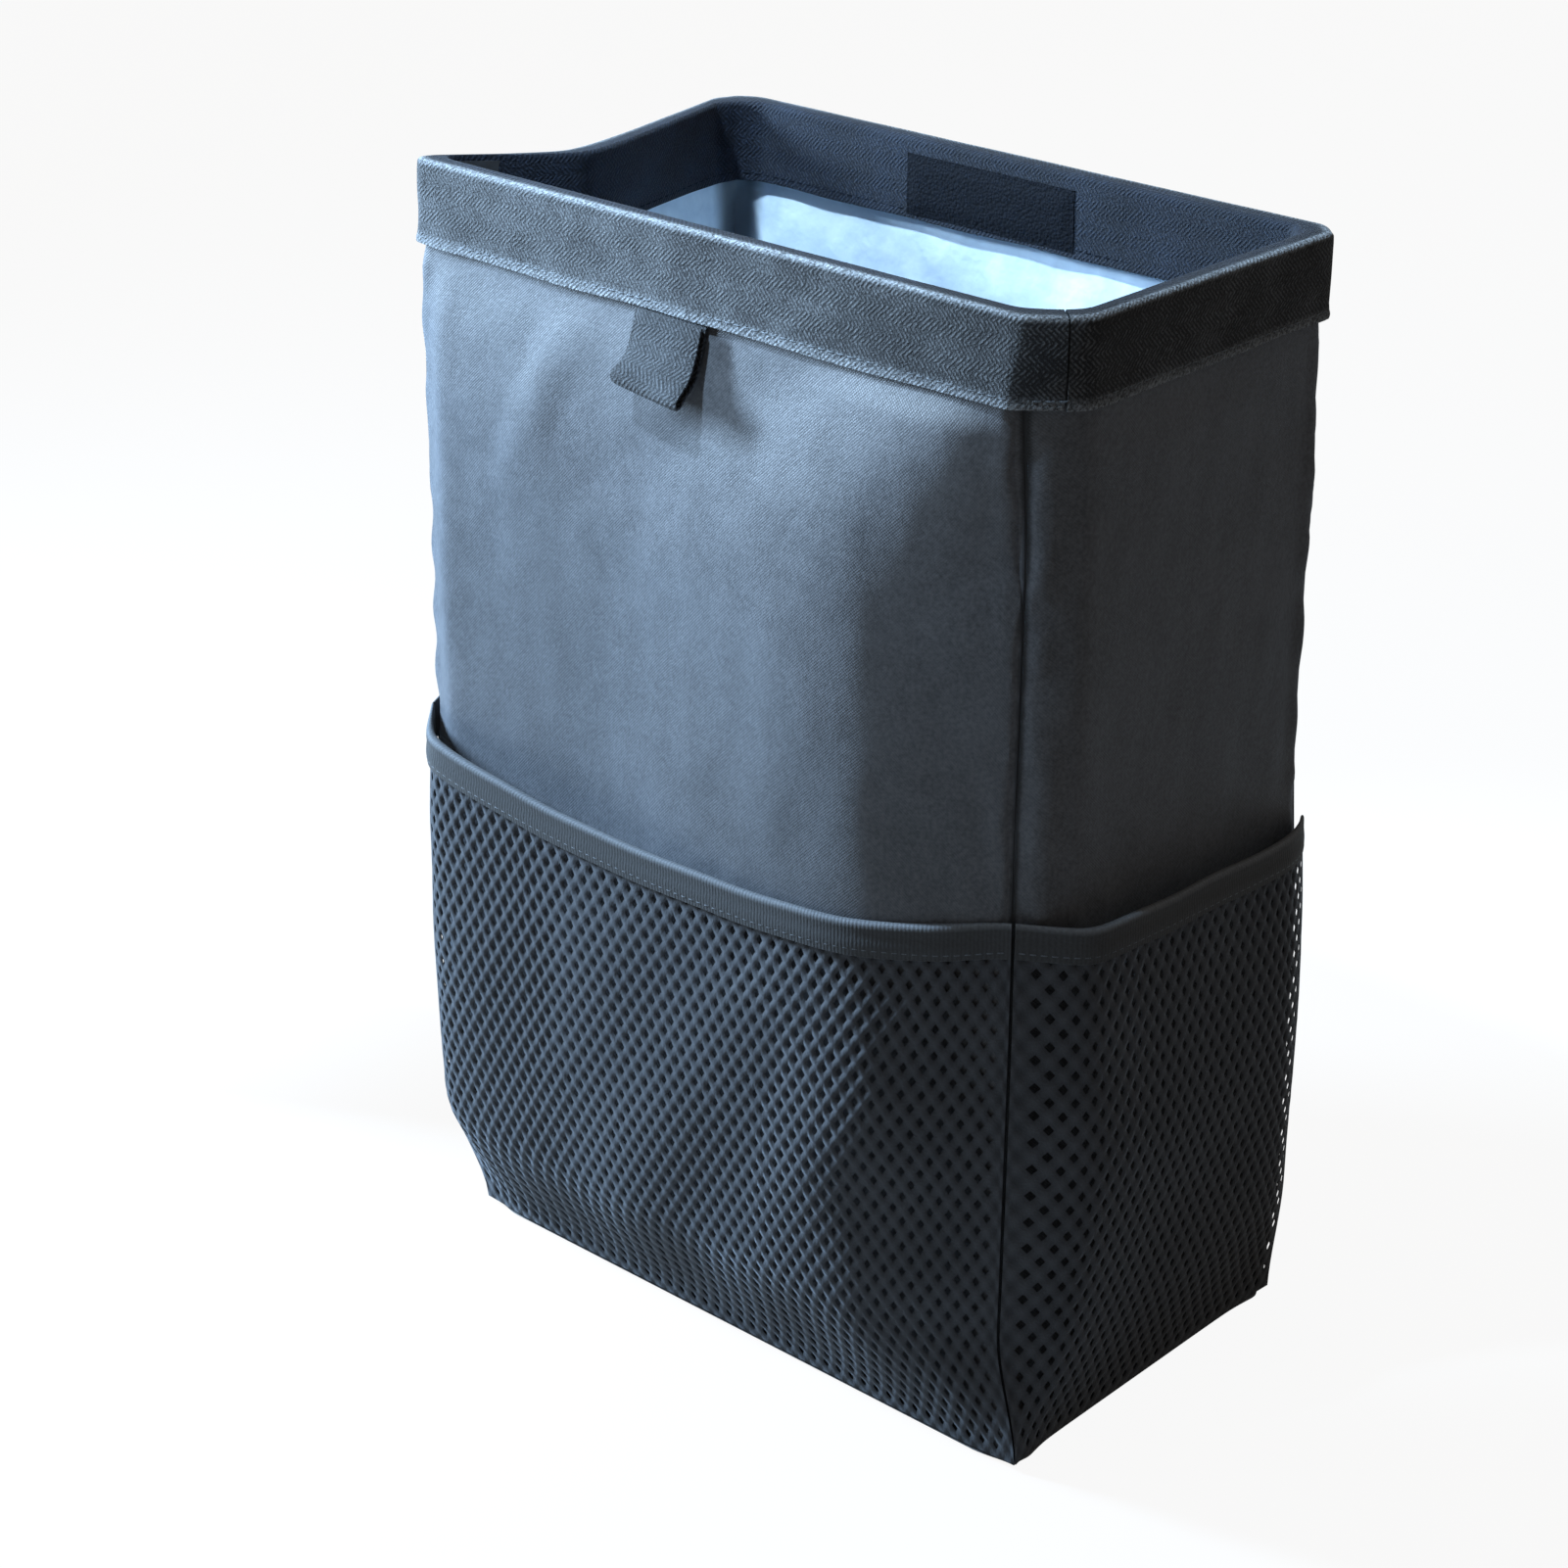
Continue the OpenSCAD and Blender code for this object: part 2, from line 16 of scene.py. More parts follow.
import bpy
import numpy as np
from mathutils import Matrix, Vector


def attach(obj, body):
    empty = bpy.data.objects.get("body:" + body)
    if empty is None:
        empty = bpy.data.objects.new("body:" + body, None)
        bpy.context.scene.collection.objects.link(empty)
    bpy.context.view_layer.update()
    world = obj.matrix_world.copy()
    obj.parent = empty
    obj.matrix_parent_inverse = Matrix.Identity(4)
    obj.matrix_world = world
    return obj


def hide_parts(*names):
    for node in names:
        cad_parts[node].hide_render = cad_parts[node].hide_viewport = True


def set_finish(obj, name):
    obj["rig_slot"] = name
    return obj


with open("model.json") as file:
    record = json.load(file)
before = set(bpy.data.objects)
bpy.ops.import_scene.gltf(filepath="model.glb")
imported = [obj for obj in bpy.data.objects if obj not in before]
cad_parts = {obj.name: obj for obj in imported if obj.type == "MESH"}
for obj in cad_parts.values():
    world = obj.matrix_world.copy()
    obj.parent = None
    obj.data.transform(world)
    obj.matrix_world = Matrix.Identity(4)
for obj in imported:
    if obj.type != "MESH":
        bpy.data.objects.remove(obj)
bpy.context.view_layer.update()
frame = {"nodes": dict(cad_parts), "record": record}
nodes = frame["nodes"]

# %% [markdown]
# ## The camera
#
# The picture was taken from the right of the broad front and a little above. The camera is placed
# from a few numbers: the turn round the bag, the height angle, a slight roll, the distance, and a
# small slide that frames the bag. A matrix whose columns are the camera's own right, up and back
# directions says the same to Blender, and a long lens keeps the upright edges nearly parallel.

# %% Camera
turn, lift, roll = 0.74692, 0.41679, 0.00716
aim, slide, distance = Vector((0, 0, 0.150)), (0.02288, -0.00189), 1.0548
film_width_mm, lens_mm = 36.0, 83.5668

back = Vector((math.sin(turn) * math.cos(lift), -math.cos(turn) * math.cos(lift), math.sin(lift)))
right = Vector((0, 0, 1)).cross(back).normalized()
up = back.cross(right)
right, up = right * math.cos(roll) + up * math.sin(roll), up * math.cos(roll) - right * math.sin(roll)

camera = bpy.data.objects.new("camera", bpy.data.cameras.new("camera"))
camera.data.sensor_width = film_width_mm
camera.data.lens = lens_mm
camera.data.clip_start = 0.05
place = aim - right * slide[0] - up * slide[1] + back * distance
camera.matrix_world = Matrix.Translation(place) @ Matrix((right, up, back)).transposed().to_4x4()
bpy.context.scene.collection.objects.link(camera)
bpy.context.scene.camera = camera
print("camera at", [round(v, 3) for v in place], "lens", round(camera.data.lens, 1), "mm")

# %% [markdown]
# ## The bag's measures
#
# All lengths are in millimetres and become metres only when a mesh is made. Corners run front
# left, front right, back right, back left. Walls run front, right, back, left, each from one
# corner to the next. The tables say how the empty bag slouches: how far each corner leans out, and
# how far each seam is drawn in at the rim, in the upper half, in the lower half and at the base.

# %% Measures and layers
bag_height, rim_width, rim_depth, base_width, base_depth = 327.0, 229.0, 121.0, 223.0, 125.0
cloth, bottom_cloth, rim_pinch, layer_gap = 0.9, 1.2, 23.0, 0.28
hem_height, webbing, frame_strip, hem_joint_at = 24.0, 1.1, 1.0, 0.055
liner, base_board, seam_tape = 0.5, 2.0, 0.4
tab_width, tab_drop, tab_lift, tab_webbing, tab_centre = 25.0, 19.5, 9.0, 1.2, 0.47
closure_length, closure_height, closure_thickness, closure_drop = 70.0, 18.0, 1.6, 4.5
pocket_height, pocket_sag, side_fall = 162.0, 10.0, 6.0
mesh, binding_height, binding = 0.7, 9.0, 0.6

corner_x, corner_y = np.array([-1, 1, 1, -1]), np.array([-1, -1, 1, 1])
base_lean = np.array([[0.5, -1.2], [2.5, -1.2], [-2, 1], [0, -2]])
rim_lean = np.array([[2.5, -0.5], [1, 0.8], [-2.6, -2.9], [-5.5, -1.5]])
rim_in = np.array([[1.5, 1.5], [12, 0.8], [2.9, 2.6], [6, 4]])
upper_in = np.array([[-0.6, 0.2], [12, 4.5], [1.2, 1.2], [2, 2]])
lower_in = np.array([[-0.8, -3], [9, 1.5], [-1.2, -1.2], [-1, 0]])
base_in = np.array([[14, 0], [0, 0], [0.7, 0.7], [2, 1]])
mid_crown, base_crown = [8, -2, 2, 1], [0, -3, 0, -4]
mid_run = [[14, 52], [13, 16], [26, 26], [20, 14]]
base_run = [[18, 18], [16, 18], [18, 18], [18, 20]]
rim_run = [[4, 5], [15, 4], [5, 9], [9, 4]]

hem_zone, base_zone, waist = bag_height * 0.214, bag_height * 0.12, bag_height * 0.46
fold_zone, fold_at, fold_round = bag_height * 0.46, 0.7, 0.15

# layers, measured outwards from the outer face of the cloth
tape_out = -cloth - layer_gap
liner_out = tape_out - seam_tape - layer_gap * 1.5
frame_out = liner_out - liner - layer_gap
hem_in = frame_out - frame_strip - layer_gap
closure_out = hem_in - webbing - layer_gap
pocket_base = layer_gap * 2.5
wall_start = bottom_cloth + layer_gap
wall_end = bag_height - webbing - layer_gap
hem_start = bag_height - hem_height
print("rim stack", round(layer_gap + webbing - hem_in + webbing, 2), "mm thick")

# %% [markdown]
# ## One rule for every wall
#
# A wall is a surface of two numbers: `u`, the share of the way from its first corner to its
# second, and `z`, the height. Every layer asks the same function for its points and only adds its
# own distance outwards, so cloth, tape, liner and webbing stay parallel however the bag slouches.

# %% The skin of the bag
def ease(x):
    """Smooth step: 0 below 0, 1 above 1, and 3t^2 - 2t^3 between."""
    t = np.clip(x, 0, 1)
    return t * t * (3 - 2 * t)


def softplus(v):
    """A rounded ramp: half of v plus the root of v squared plus 0.05."""
    return (v + np.sqrt(v * v + 0.05)) / 2


def seam_in(k, z, axis):
    """How far the seam at corner k is drawn in: the four table rows, blended by height."""
    r = ease((z - bag_height + hem_zone) / hem_zone)
    b = 1 - ease(z / base_zone)
    low = 1 - ease((z - waist + base_zone) / (2 * base_zone))
    mid = (1 - r) * (1 - b)
    return (r * rim_in[k][axis] + b * base_in[k][axis]
            + mid * (low * lower_in[k][axis] + (1 - low) * upper_in[k][axis]))


def box_corner(k, z, axis):
    """Where corner k would be in a plain tapering box with leaning corners."""
    t = z / bag_height
    near, far = ((base_width, rim_width), (base_depth, rim_depth))[axis]
    sign = (corner_x, corner_y)[axis][k]
    return sign * ((near + (far - near) * t) / 2 + base_lean[k][axis]
                   + (rim_lean[k][axis] - base_lean[k][axis]) * t)


def left_fold(u, z):
    """Inward fold of the left wall: a V in u with a rounded point, growing with height. Its sides
    end in a line to the corner, no steeper than the layers can follow without crossing."""
    q = np.where(u < fold_at, (fold_at - u) / fold_at, (u - fold_at) / (1 - fold_at))
    grow = ease((z - bag_height + fold_zone) / fold_zone)
    point = (1 + fold_round / 2 - np.sqrt(q * q + fold_round ** 2)) / (1 - fold_round / 2)
    return rim_pinch * grow * np.minimum(point, 4.0 * np.minimum(u, 1 - u))


def skin(i, u, z, off=0.0):
    """Points of wall i at share u and height z, moved out by off. The depth of the wall is the line
    between its corners plus a crown, less a pull towards each seam that fades over its run."""
    u, z, off = np.broadcast_arrays(np.asarray(u, float), np.asarray(z, float), np.asarray(off, float))
    a, b, axis = i, (i + 1) % 4, 1 if i % 2 == 0 else 0
    along, sign = 1 - axis, -1 if i in (0, 3) else 1
    r, s = ease((z - bag_height + hem_zone) / hem_zone), 1 - ease(z / base_zone)
    mid = (1 - r) * (1 - s)
    crown = mid * mid_crown[i] + s * base_crown[i]
    along_a, along_b = box_corner(a, z, along), box_corner(b, z, along)
    deep_a, deep_b = box_corner(a, z, axis), box_corner(b, z, axis)
    span = abs(along_b - along_a)
    depth = sign * (deep_a + (deep_b - deep_a) * u) + crown
    for k, e, end in ((a, u * span, 0), (b, (1 - u) * span, 1)):
        pull = (r * (1 - np.minimum(e / rim_run[i][end], 1)) ** 2
                + (s * softplus(1 - e / base_run[i][end])
                   + mid * softplus(1 - e / mid_run[i][end])) / softplus(1.0))
        depth = depth - (seam_in(k, z, axis) + crown) * pull
    if i == 3:
        depth = depth - left_fold(u, z)
    depth = depth + off
    ends = (corner_x, corner_y)[along]
    start = along_a - ends[a] * (seam_in(a, z, along) - off)
    stop = along_b - ends[b] * (seam_in(b, z, along) - off)
    run = start + (stop - start) * u
    return np.stack([run, sign * depth, z] if axis == 1 else [sign * depth, run, z], -1)


def width_of(i, z=160.0):
    """Length of wall i along the cloth at height z, in mm."""
    p = skin(i, np.linspace(0, 1, 400), z)
    return float(np.linalg.norm(np.diff(p, axis=0), axis=1).sum())


print("wall widths", [round(width_of(i), 1) for i in range(4)])

# %% [markdown]
# ## From grids of points to closed pieces
#
# Cloth has a thickness, so each piece is a closed solid between an outer and an inner grid of
# points. Writing whole arrays into the mesh is far quicker than adding vertices one at a time. The
# map coordinates are metres along and across the cloth, so a weave keeps its size on every piece.
# On the walls the first of them counts from the nearest seam, so that a finish can find the seam.

# %% Mesh helpers
def put_mesh(name, points, groups, maps=None, crease=38):
    """A mesh from points in mm and groups of faces with equal corner counts; maps are the groups'
    corner coordinates in mm. Edges that turn by more than crease degrees stay sharp."""
    m = bpy.data.meshes.new(name)
    sizes = np.concatenate([np.full(len(g), g.shape[1]) for g in groups]).astype(np.int32)
    corners = np.concatenate([g.reshape(-1) for g in groups]).astype(np.int32)
    m.vertices.add(len(points))
    m.vertices.foreach_set("co", (np.asarray(points) / 1000).astype(np.float32).reshape(-1))
    m.loops.add(len(corners))
    m.loops.foreach_set("vertex_index", corners)
    m.polygons.add(len(sizes))
    starts = np.concatenate([[0], np.cumsum(sizes)[:-1]]).astype(np.int32)
    m.polygons.foreach_set("loop_start", starts)
    if maps is not None:
        layer = m.uv_layers.new(name="cloth_map")
        flat = np.concatenate([t.reshape(-1) for t in maps]) / 1000
        layer.uv.foreach_set("vector", flat.astype(np.float32))
    m.polygons.foreach_set("use_smooth", np.ones(len(sizes), bool))
    m.update(calc_edges=True)
    m.validate()
    m.set_sharp_from_angle(angle=math.radians(crease))
    piece = bpy.data.objects.new(name, m)
    bpy.context.scene.collection.objects.link(piece)
    return piece


def grid_quads(rows, cols, closed=False):
    """Corner numbers of a grid's quads, anticlockwise where columns run right and rows run up."""
    r, c = np.meshgrid(np.arange(rows - 1), np.arange(cols if closed else cols - 1), indexing="ij")
    d = (c + 1) % cols
    return np.stack([r * cols + c, r * cols + d, (r + 1) * cols + d, (r + 1) * cols + c], -1).reshape(-1, 4)


def solid_sheet(name, outer, inner, plan):
    """The closed solid between two grids of points, with a band of faces round their edge; plan is
    the grid of map coordinates."""
    rows, cols = outer.shape[:2]
    n, quads, plan = rows * cols, grid_quads(rows, cols), plan.reshape(-1, 2)
    line = np.arange(cols)
    loop = np.concatenate([line[:-1], np.arange(rows - 1) * cols + cols - 1,
                           (rows - 1) * cols + line[:0:-1], np.arange(rows - 1, 0, -1) * cols])
    after = np.roll(loop, -1)
    band = np.stack([after, loop, loop + n, after + n], -1)
    points = np.concatenate([outer.reshape(-1, 3), inner.reshape(-1, 3)])
    return put_mesh(name, points, [quads, quads[:, ::-1] + n, band],
                    [plan[quads], plan[quads[:, ::-1]], plan[band % n]])


def waves(x, y, size, seed, count=9):
    """Soft relief from about -1 to 1: a sum of sine waves with random heading, phase and length."""
    rng = np.random.default_rng(seed)
    total = 0
    for heading, phase, stretch in rng.uniform((0, 0, 0.7), (2 * np.pi, 2 * np.pi, 1.7), (count, 3)):
        run = x * np.cos(heading) + y * np.sin(heading)
        total = total + np.sin(run * 2 * np.pi / (size * stretch) + phase)
    return total / math.sqrt(count)


def bump(x):
    """A round hill: one at 0, nothing beyond -1 and 1, squared parabola between."""
    return np.clip(1 - np.asarray(x) ** 2, 0, 1) ** 2


def edge_steps(length, step, ends=(0.3, 0.7, 1.2, 1.9, 2.8, 4.0, 5.5)):
    """Distances along a strip: fine near both ends, then even steps."""
    count = int(round((length - 2 * ends[-1]) / step))
    inner = np.linspace(ends[-1] + step, length - ends[-1] - step, count)
    return np.concatenate([ends, inner, length - np.array(ends)[::-1]])


made = {}


def hand_over(piece, slot, *replaced):
    """Hides the nodes that the piece replaces, hangs it on the root body and gives it its material slot."""
    if replaced:
        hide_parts(*replaced)
    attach(piece, "root")
    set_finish(piece, slot)
    made[piece.name] = piece
    print(piece.name, len(piece.data.polygons), "faces")


# %% [markdown]
# ## The four walls
#
# Coated polyester is stiff and springy: it stands in broad soft swells, buckles into short creases
# near a seam, and rolls inwards at the seam itself, where the two edges are turned to the inside
# and leave a dark groove. Each wall is a fine grid on the bag's skin. Its relief stands outwards
# but for the groove, and only the outer face takes the groove, so the wall's inner face never cuts
# into the layers behind it. The relief fades to nothing under the hem.
#
# The front is the wall that the light rakes over. It has a long ridge where it turns towards its
# right seam, which is drawn in, soft folds that hang from the tab, and a tuck along that seam.

# %% Walls of outer cloth
ridge_room, ridge_slope = 42.0, 0.19
grid_step, groove_depth = 2.0, 0.8


def below_hem(z, gap, run):
    """0 from gap mm below the hem upwards, 1 from run mm further down."""
    return ease((hem_start - gap - z) / run)


def swells(i, x, z, e):
    """Broad swells and small ones, fading at the seams, stronger above the pocket's edge."""
    broad = 0.42 * (1 + waves(x, z * 0.55, 62, 10 + i))
    small = 0.10 * (1 + waves(x, z * 0.8, 17, 30 + i))
    fade = ease(e / 16) * below_hem(z, 2, 16) * ease((z - 4) / 12)
    return (broad + small) * fade * (0.35 + 0.65 * ease((z - pocket_height + 12) / 20))


def edge_roll(i, z, e):
    """The rolled edge beside a seam: a round hill 3.6 mm from it that swells and thins with height."""
    roll = (0.5 + 0.3 * waves(0 * z, z, 19, 50 + i)) * bump((e - 3.6) / 3.2)
    return roll * below_hem(z, 0, 8) * ease((z - pocket_height - 2) / 10)


def fold(x, z, middle, half, out):
    """A soft fold out mm high round a middle (x, z), with its half width and half height."""
    return out * bump((x - middle[0]) / half[0]) * bump((z - middle[1]) / half[1])


def seam_ridge(e, room):
    """A long ridge beside a seam, e mm from it: a straight rise over its room, a rounded top and a
    slow, eased fall over three times the room. The smaller of the two, blended where they meet."""
    up, down = e / room, 1 - ease((e - room) / (3 * room))
    return np.clip((up + down - np.sqrt((up - down) ** 2 + 0.06)) / 2, 0, None)


def front_relief(x, z, e):
    """What only the front has, e mm from its right seam: the cloth drawn in below the hem, two soft
    folds, the tuck with short creases along the seam, and the ridge, shorter as it rises."""
    drawn_in = -0.9 * bump(e / 26) * ease((z - 236) / 26) * below_hem(z, 0, 6)
    from_tab = fold(x + (hem_start - z) * 0.42, z, (70, 268), (13, 38), 0.9)
    upright = fold(x - (z - 200) * 0.05, z, (150, 196), (17, 62), 0.8)
    tuck = 0.4 * (0.6 + 0.5 * waves(0 * x, z, 17, 71)) * bump((e - 5.5) / 4.5)
    tuck = tuck * ease((z - pocket_height - 6) / 12) * below_hem(z, 2, 9)
    room = ridge_room * (1 - 0.6 * ease((z - 225) / 95)) + 1.5 * waves(0 * x, z, 60, 72)
    ridge = ridge_slope * room * seam_ridge(e, room) * below_hem(z, 0, 8) * ease((z - 60) / 80)
    return drawn_in + from_tab + upright + tuck + ridge


def wall_relief(i, u, z, width):
    """Outward relief of wall i in mm: its swells, rolled edges and own folds, less the groove, which
    is a parabola of the distance to the seam."""
    x = u * width
    e = np.minimum(x, width - x)
    relief = swells(i, x, z, e)
    if i == 0:
        relief = relief + edge_roll(i, z, e) * (0.25 + 0.75 * (u < 0.5)) + front_relief(x, z, width - x)
    else:
        relief = relief + edge_roll(i, z, e)
    if i == 1:
        # the seam's turned-in edges show through as a ridge with a rounded lower end
        turned = 1.5 * bump((x - 6.6) / 4.4) * ease((z - pocket_height + 4) / 5)
        relief = relief + turned * (1 - 0.7 * ease((z - 190) / 40))
    groove = 2.6 + 0.8 * waves(0 * x, z, 24, 70)
    return relief - groove_depth * (1 - np.minimum(e / groove, 1) ** 2)


def wall_cloth(i, name, node):
    """Wall i as a solid sheet: the skin plus its relief outside, a cloth's thickness less inside."""
    width, under_hem = width_of(i), hem_start + 4
    x = edge_steps(width, grid_step)
    z = np.concatenate([np.linspace(wall_start, under_hem, int((under_hem - wall_start) / 2.1)),
                        np.linspace(hem_start + 9, wall_end, 4)])
    u, z = np.meshgrid(x / width, z)
    relief = wall_relief(i, u, z, width)
    outer = skin(i, u, z, relief)
    inner = skin(i, u, z, np.maximum(relief, 0) - cloth)
    piece = solid_sheet(name, outer, inner, np.stack([np.minimum(u, 1 - u) * width, z], -1))
    hand_over(piece, "outer_cloth", node)


wall_nodes = ("front_panel", "right_side_panel", "back_panel", "left_side_panel")
for i, (side, node) in enumerate(zip(("front", "right", "back", "left"), wall_nodes)):
    wall_cloth(i, side + "_cloth", node)

# %% [markdown]
# ## The bottom and the liner
#
# The bottom is a flat cut of the same cloth. The liner is one cup of pale coated cloth that hangs
# inside, and it is what catches the light in the mouth. Both are a profile carried round the bag
# and closed by a fan of triangles at the middle. The liner is cut a little full, so it hangs in
# upright folds below the hem; they stand inwards only, away from the wall.

# %% Bottom cloth and liner
def round_columns(step):
    """The walk round the bag as (wall, share) pairs, about one column per step mm."""
    walls, shares = [], []
    for i in range(4):
        width = width_of(i)
        n = int(width / step)
        t = np.linspace(0, 1, n, endpoint=False)
        walls.append(np.full(n, i))
        shares.append(t - np.sin(2 * np.pi * t) * 0.075)
    return np.concatenate(walls), np.concatenate(shares)


def walk_points(walls, shares, z, off):
    """Points for each column of a walk; z and off are arrays of rows by columns or one per row."""
    z, off = (np.asarray(v, float) for v in (z, off))
    z = z if z.ndim == 2 else z.reshape(-1, 1)
    off = off if off.ndim == 2 else off.reshape(-1, 1)
    shape = (max(z.shape[0], off.shape[0]), len(walls))
    z, off = np.broadcast_to(z, shape), np.broadcast_to(off, shape)
    out = np.empty((*shape, 3))
    for i in range(4):
        at = walls == i
        out[:, at] = skin(i, shares[at][None, :], z[:, at], off[:, at])
    return out


def walk_lengths(points):
    """Running length along a row of points, in mm."""
    return np.concatenate([[0], np.cumsum(np.linalg.norm(np.diff(points, axis=0), axis=1))])


def cup(name, rings, plan):
    """A closed skin: rings of points from the middle of one side to the middle of the other, the
    first and last closed with a fan to their centre."""
    rows, cols = rings.shape[:2]
    n = rows * cols
    quads = grid_quads(rows, cols, True)
    mapped = plan.reshape(-1, 2)[grid_quads(rows, cols + 1)]
    c = np.arange(cols)
    d = (c + 1) % cols
    first = np.stack([np.full(cols, n), d, c], -1)
    last = np.stack([np.full(cols, n + 1), c + (rows - 1) * cols, d + (rows - 1) * cols], -1)
    centre = np.stack([rings[0].mean(0), rings[-1].mean(0)])
    flat = np.concatenate([plan[:, :cols].reshape(-1, 2), centre[:, :2]])
    points = np.concatenate([rings.reshape(-1, 3), centre])
    return put_mesh(name, points, [quads, first, last], [mapped, flat[first], flat[last]], crease=50)


walls, shares = round_columns(3.0)
# the edge of the bottom is a rounded roll of five rings, held in at the corners
near_corner = ease(np.minimum(shares, 1 - shares) * base_depth / 9)
edge_out = np.array([-1.4, 0.6, 1.36, 0.6, -1.4])[:, None]
edge_out = np.where(edge_out > 0, edge_out * near_corner - 1.2 * (1 - near_corner), edge_out)
edge = walk_points(walls, shares, [wall_start] * 5, edge_out)
edge[..., 2] = np.array([0, 0, 0.5, 1, 1])[:, None] * bottom_cloth
shrink = (0.12, 0.5, 0.85)
low_rows = [edge[0] * np.array([s, s, 0]) for s in shrink]
high_rows = [edge[-1] * np.array([s, s, 1]) for s in shrink[::-1]]
rings = np.stack([*low_rows, *edge, *high_rows])
plan = np.concatenate([rings[..., :2], rings[:, :1, :2]], 1)
bottom = cup("bottom_cloth", rings, plan)
hand_over(bottom, "outer_cloth", "bottom_panel")

walls, shares = round_columns(2.6)
floor_z = bottom_cloth + layer_gap + base_board + layer_gap
top = wall_end - layer_gap
cove = floor_z + 6 * (1 - np.cos(np.linspace(0.25, 1.5, 5)))
heights = np.concatenate([cove, np.linspace(floor_z + 9, top, 118)])
outer_heights = np.concatenate([[floor_z], np.linspace(floor_z + 4, top, 26)])
wall_widths = np.array([width_of(i) for i in range(4)])
along = np.concatenate([[0], np.cumsum(wall_widths)])[walls] + shares * wall_widths[walls]
girth, liner_cut = wall_widths.sum(), 360.0


def hanging_folds(x, z):
    """Inward folds of the loose liner in mm, at x mm round the girth: upright pleats that repeat
    after one girth, with a few slanting creases. Both fade under the hem and at the floor."""
    turnaround = x / girth * 2 * np.pi
    pleats = sum(a * np.sin(k * turnaround + p + 0.004 * z * (k % 3 - 1))
                 for k, a, p in ((7, 0.9, 0.4), (11, 0.7, 2.0), (17, 0.55, 4.1), (29, 0.25, 1.0)))
    slants = sum(a * np.sin(k * turnaround + z * w + p)
                 for k, a, w, p in ((23, 0.35, 0.06, 0.5), (31, 0.3, -0.08, 2.2), (13, 0.5, 0.045, 3.0)))
    depth = np.clip(1.35 + pleats * 0.6 + slants * 0.6, 0, None)
    return depth * ease((hem_start + 4 - z) / 26) * ease((z - floor_z) / 20)


seam_close = ease(np.minimum(shares, 1 - shares) * wall_widths[walls] / 9)[None, :]
inward = hanging_folds(along[None, :], heights[:, None]) * seam_close
inner_wall = walk_points(walls, shares, heights, liner_out - liner - inward)
outer_wall = walk_points(walls, shares, outer_heights, liner_out)
# the floor inside lies on the board in shallow ripples
ring_in = inner_wall[0] * np.array([0.98, 0.9, 0.75, 0.55, 0.3, 0.1])[:, None, None]
ripple = 0.35 * (1 + waves(ring_in[..., 0], ring_in[..., 1], 40, 77))
ring_in[..., 2] = floor_z + liner + ripple * np.array([0.2, 0.8, 1, 1, 1, 1])[:, None]
ring_out = np.stack([outer_wall[0] * np.array([s, s, 1]) for s in (0.1, 0.5, 0.9)])
rim_mid = (outer_wall[-1] + inner_wall[-1]) / 2 + np.array([0, 0, 0.2])
rings = np.concatenate([ring_out, outer_wall, rim_mid[None], inner_wall[::-1], ring_in])
spread = np.concatenate([np.zeros(len(ring_out)), outer_heights, [top],
                         heights[::-1], np.zeros(len(ring_in))])
plan = np.stack(np.broadcast_arrays(np.append(along, girth)[None, :], spread[:, None]), -1)
liner_cup = cup("liner_cup", rings, plan)
hand_over(liner_cup, "liner_film", "liner")
print("liner", round(girth), "mm round, cut", liner_cut, "mm high")

# %% [markdown]
# ## The hem
#
# One length of herringbone webbing is folded lengthwise over the rim, and its ends meet just past
# the front right corner. It is a flat ribbon, so the quickest true shape is its cross-section
# carried round the rim: a leg outside, a rounded fold on top and a leg inside. The legs' edges are
# a little thicker, as a woven edge is, and waver slightly, as a hand-guided hem does.

# %% Hem webbing
mid_hem, slit = bag_height - hem_height / 2, 0.25 / rim_depth
parts = [(1, np.linspace(hem_joint_at + slit, 1, int(width_of(1, mid_hem) * 0.88 / 2.2)))]
for i in (2, 3, 0):
    t = np.linspace(0, 1, int(width_of(i, mid_hem) / grid_step) + 1)[1:]
    parts.append((i, t - np.sin(2 * np.pi * t) * 0.075))
parts.append((1, np.linspace(0, hem_joint_at - slit, 10)[1:]))
hem_walls = np.concatenate([np.full(len(t), i) for i, t in parts])
hem_shares = np.concatenate([t for _, t in parts])
hem_along = walk_lengths(walk_points(hem_walls, hem_shares, [mid_hem], [0.0])[0])


def over_rim(legs, leg_z, faces, crown, drop, turn_in):
    """A profile over the rim: up the outer leg, two quarter turns that end at the crown, each drop
    high and with its own turn_in wide, and down the inner leg. Its points are (out, z) pairs."""
    quarters = [np.stack([face + sign * wide * (1 - np.cos(arc)), crown - drop * (1 - np.sin(arc))], -1)
                for face, sign, wide in zip(faces, (-1, 1), turn_in)]
    up, down = (np.stack([leg, leg_z], -1) for leg in legs)
    return np.concatenate([up, quarters[0], quarters[1][::-1], down[::-1]])


bend, small = webbing + layer_gap, layer_gap * 0.8
arc = np.radians(np.linspace(9, 90, 9))
woven_edge = hem_start + np.array([0, 0.25, 0.6, 1.2, 2.0])
leg_z = np.concatenate([woven_edge, np.linspace(hem_start + 4, wall_end, 12)])
out_face, in_face = layer_gap + webbing, hem_in - webbing
swell_edge = 0.22 * bump((leg_z - hem_start - 0.9) / 1.6)
leg_out = np.where(leg_z - hem_start < 0.25, -0.45, swell_edge)
outer_path = over_rim((out_face + leg_out, in_face - leg_out), leg_z, (out_face, in_face),
                      bag_height, bend, (bend, bend))
level = 0 * leg_z
inner_path = over_rim((level + layer_gap, level + hem_in), np.minimum(leg_z, wall_end - 0.3),
                      (layer_gap, hem_in), bag_height - webbing, small, (layer_gap, small))
across = walk_lengths(outer_path)
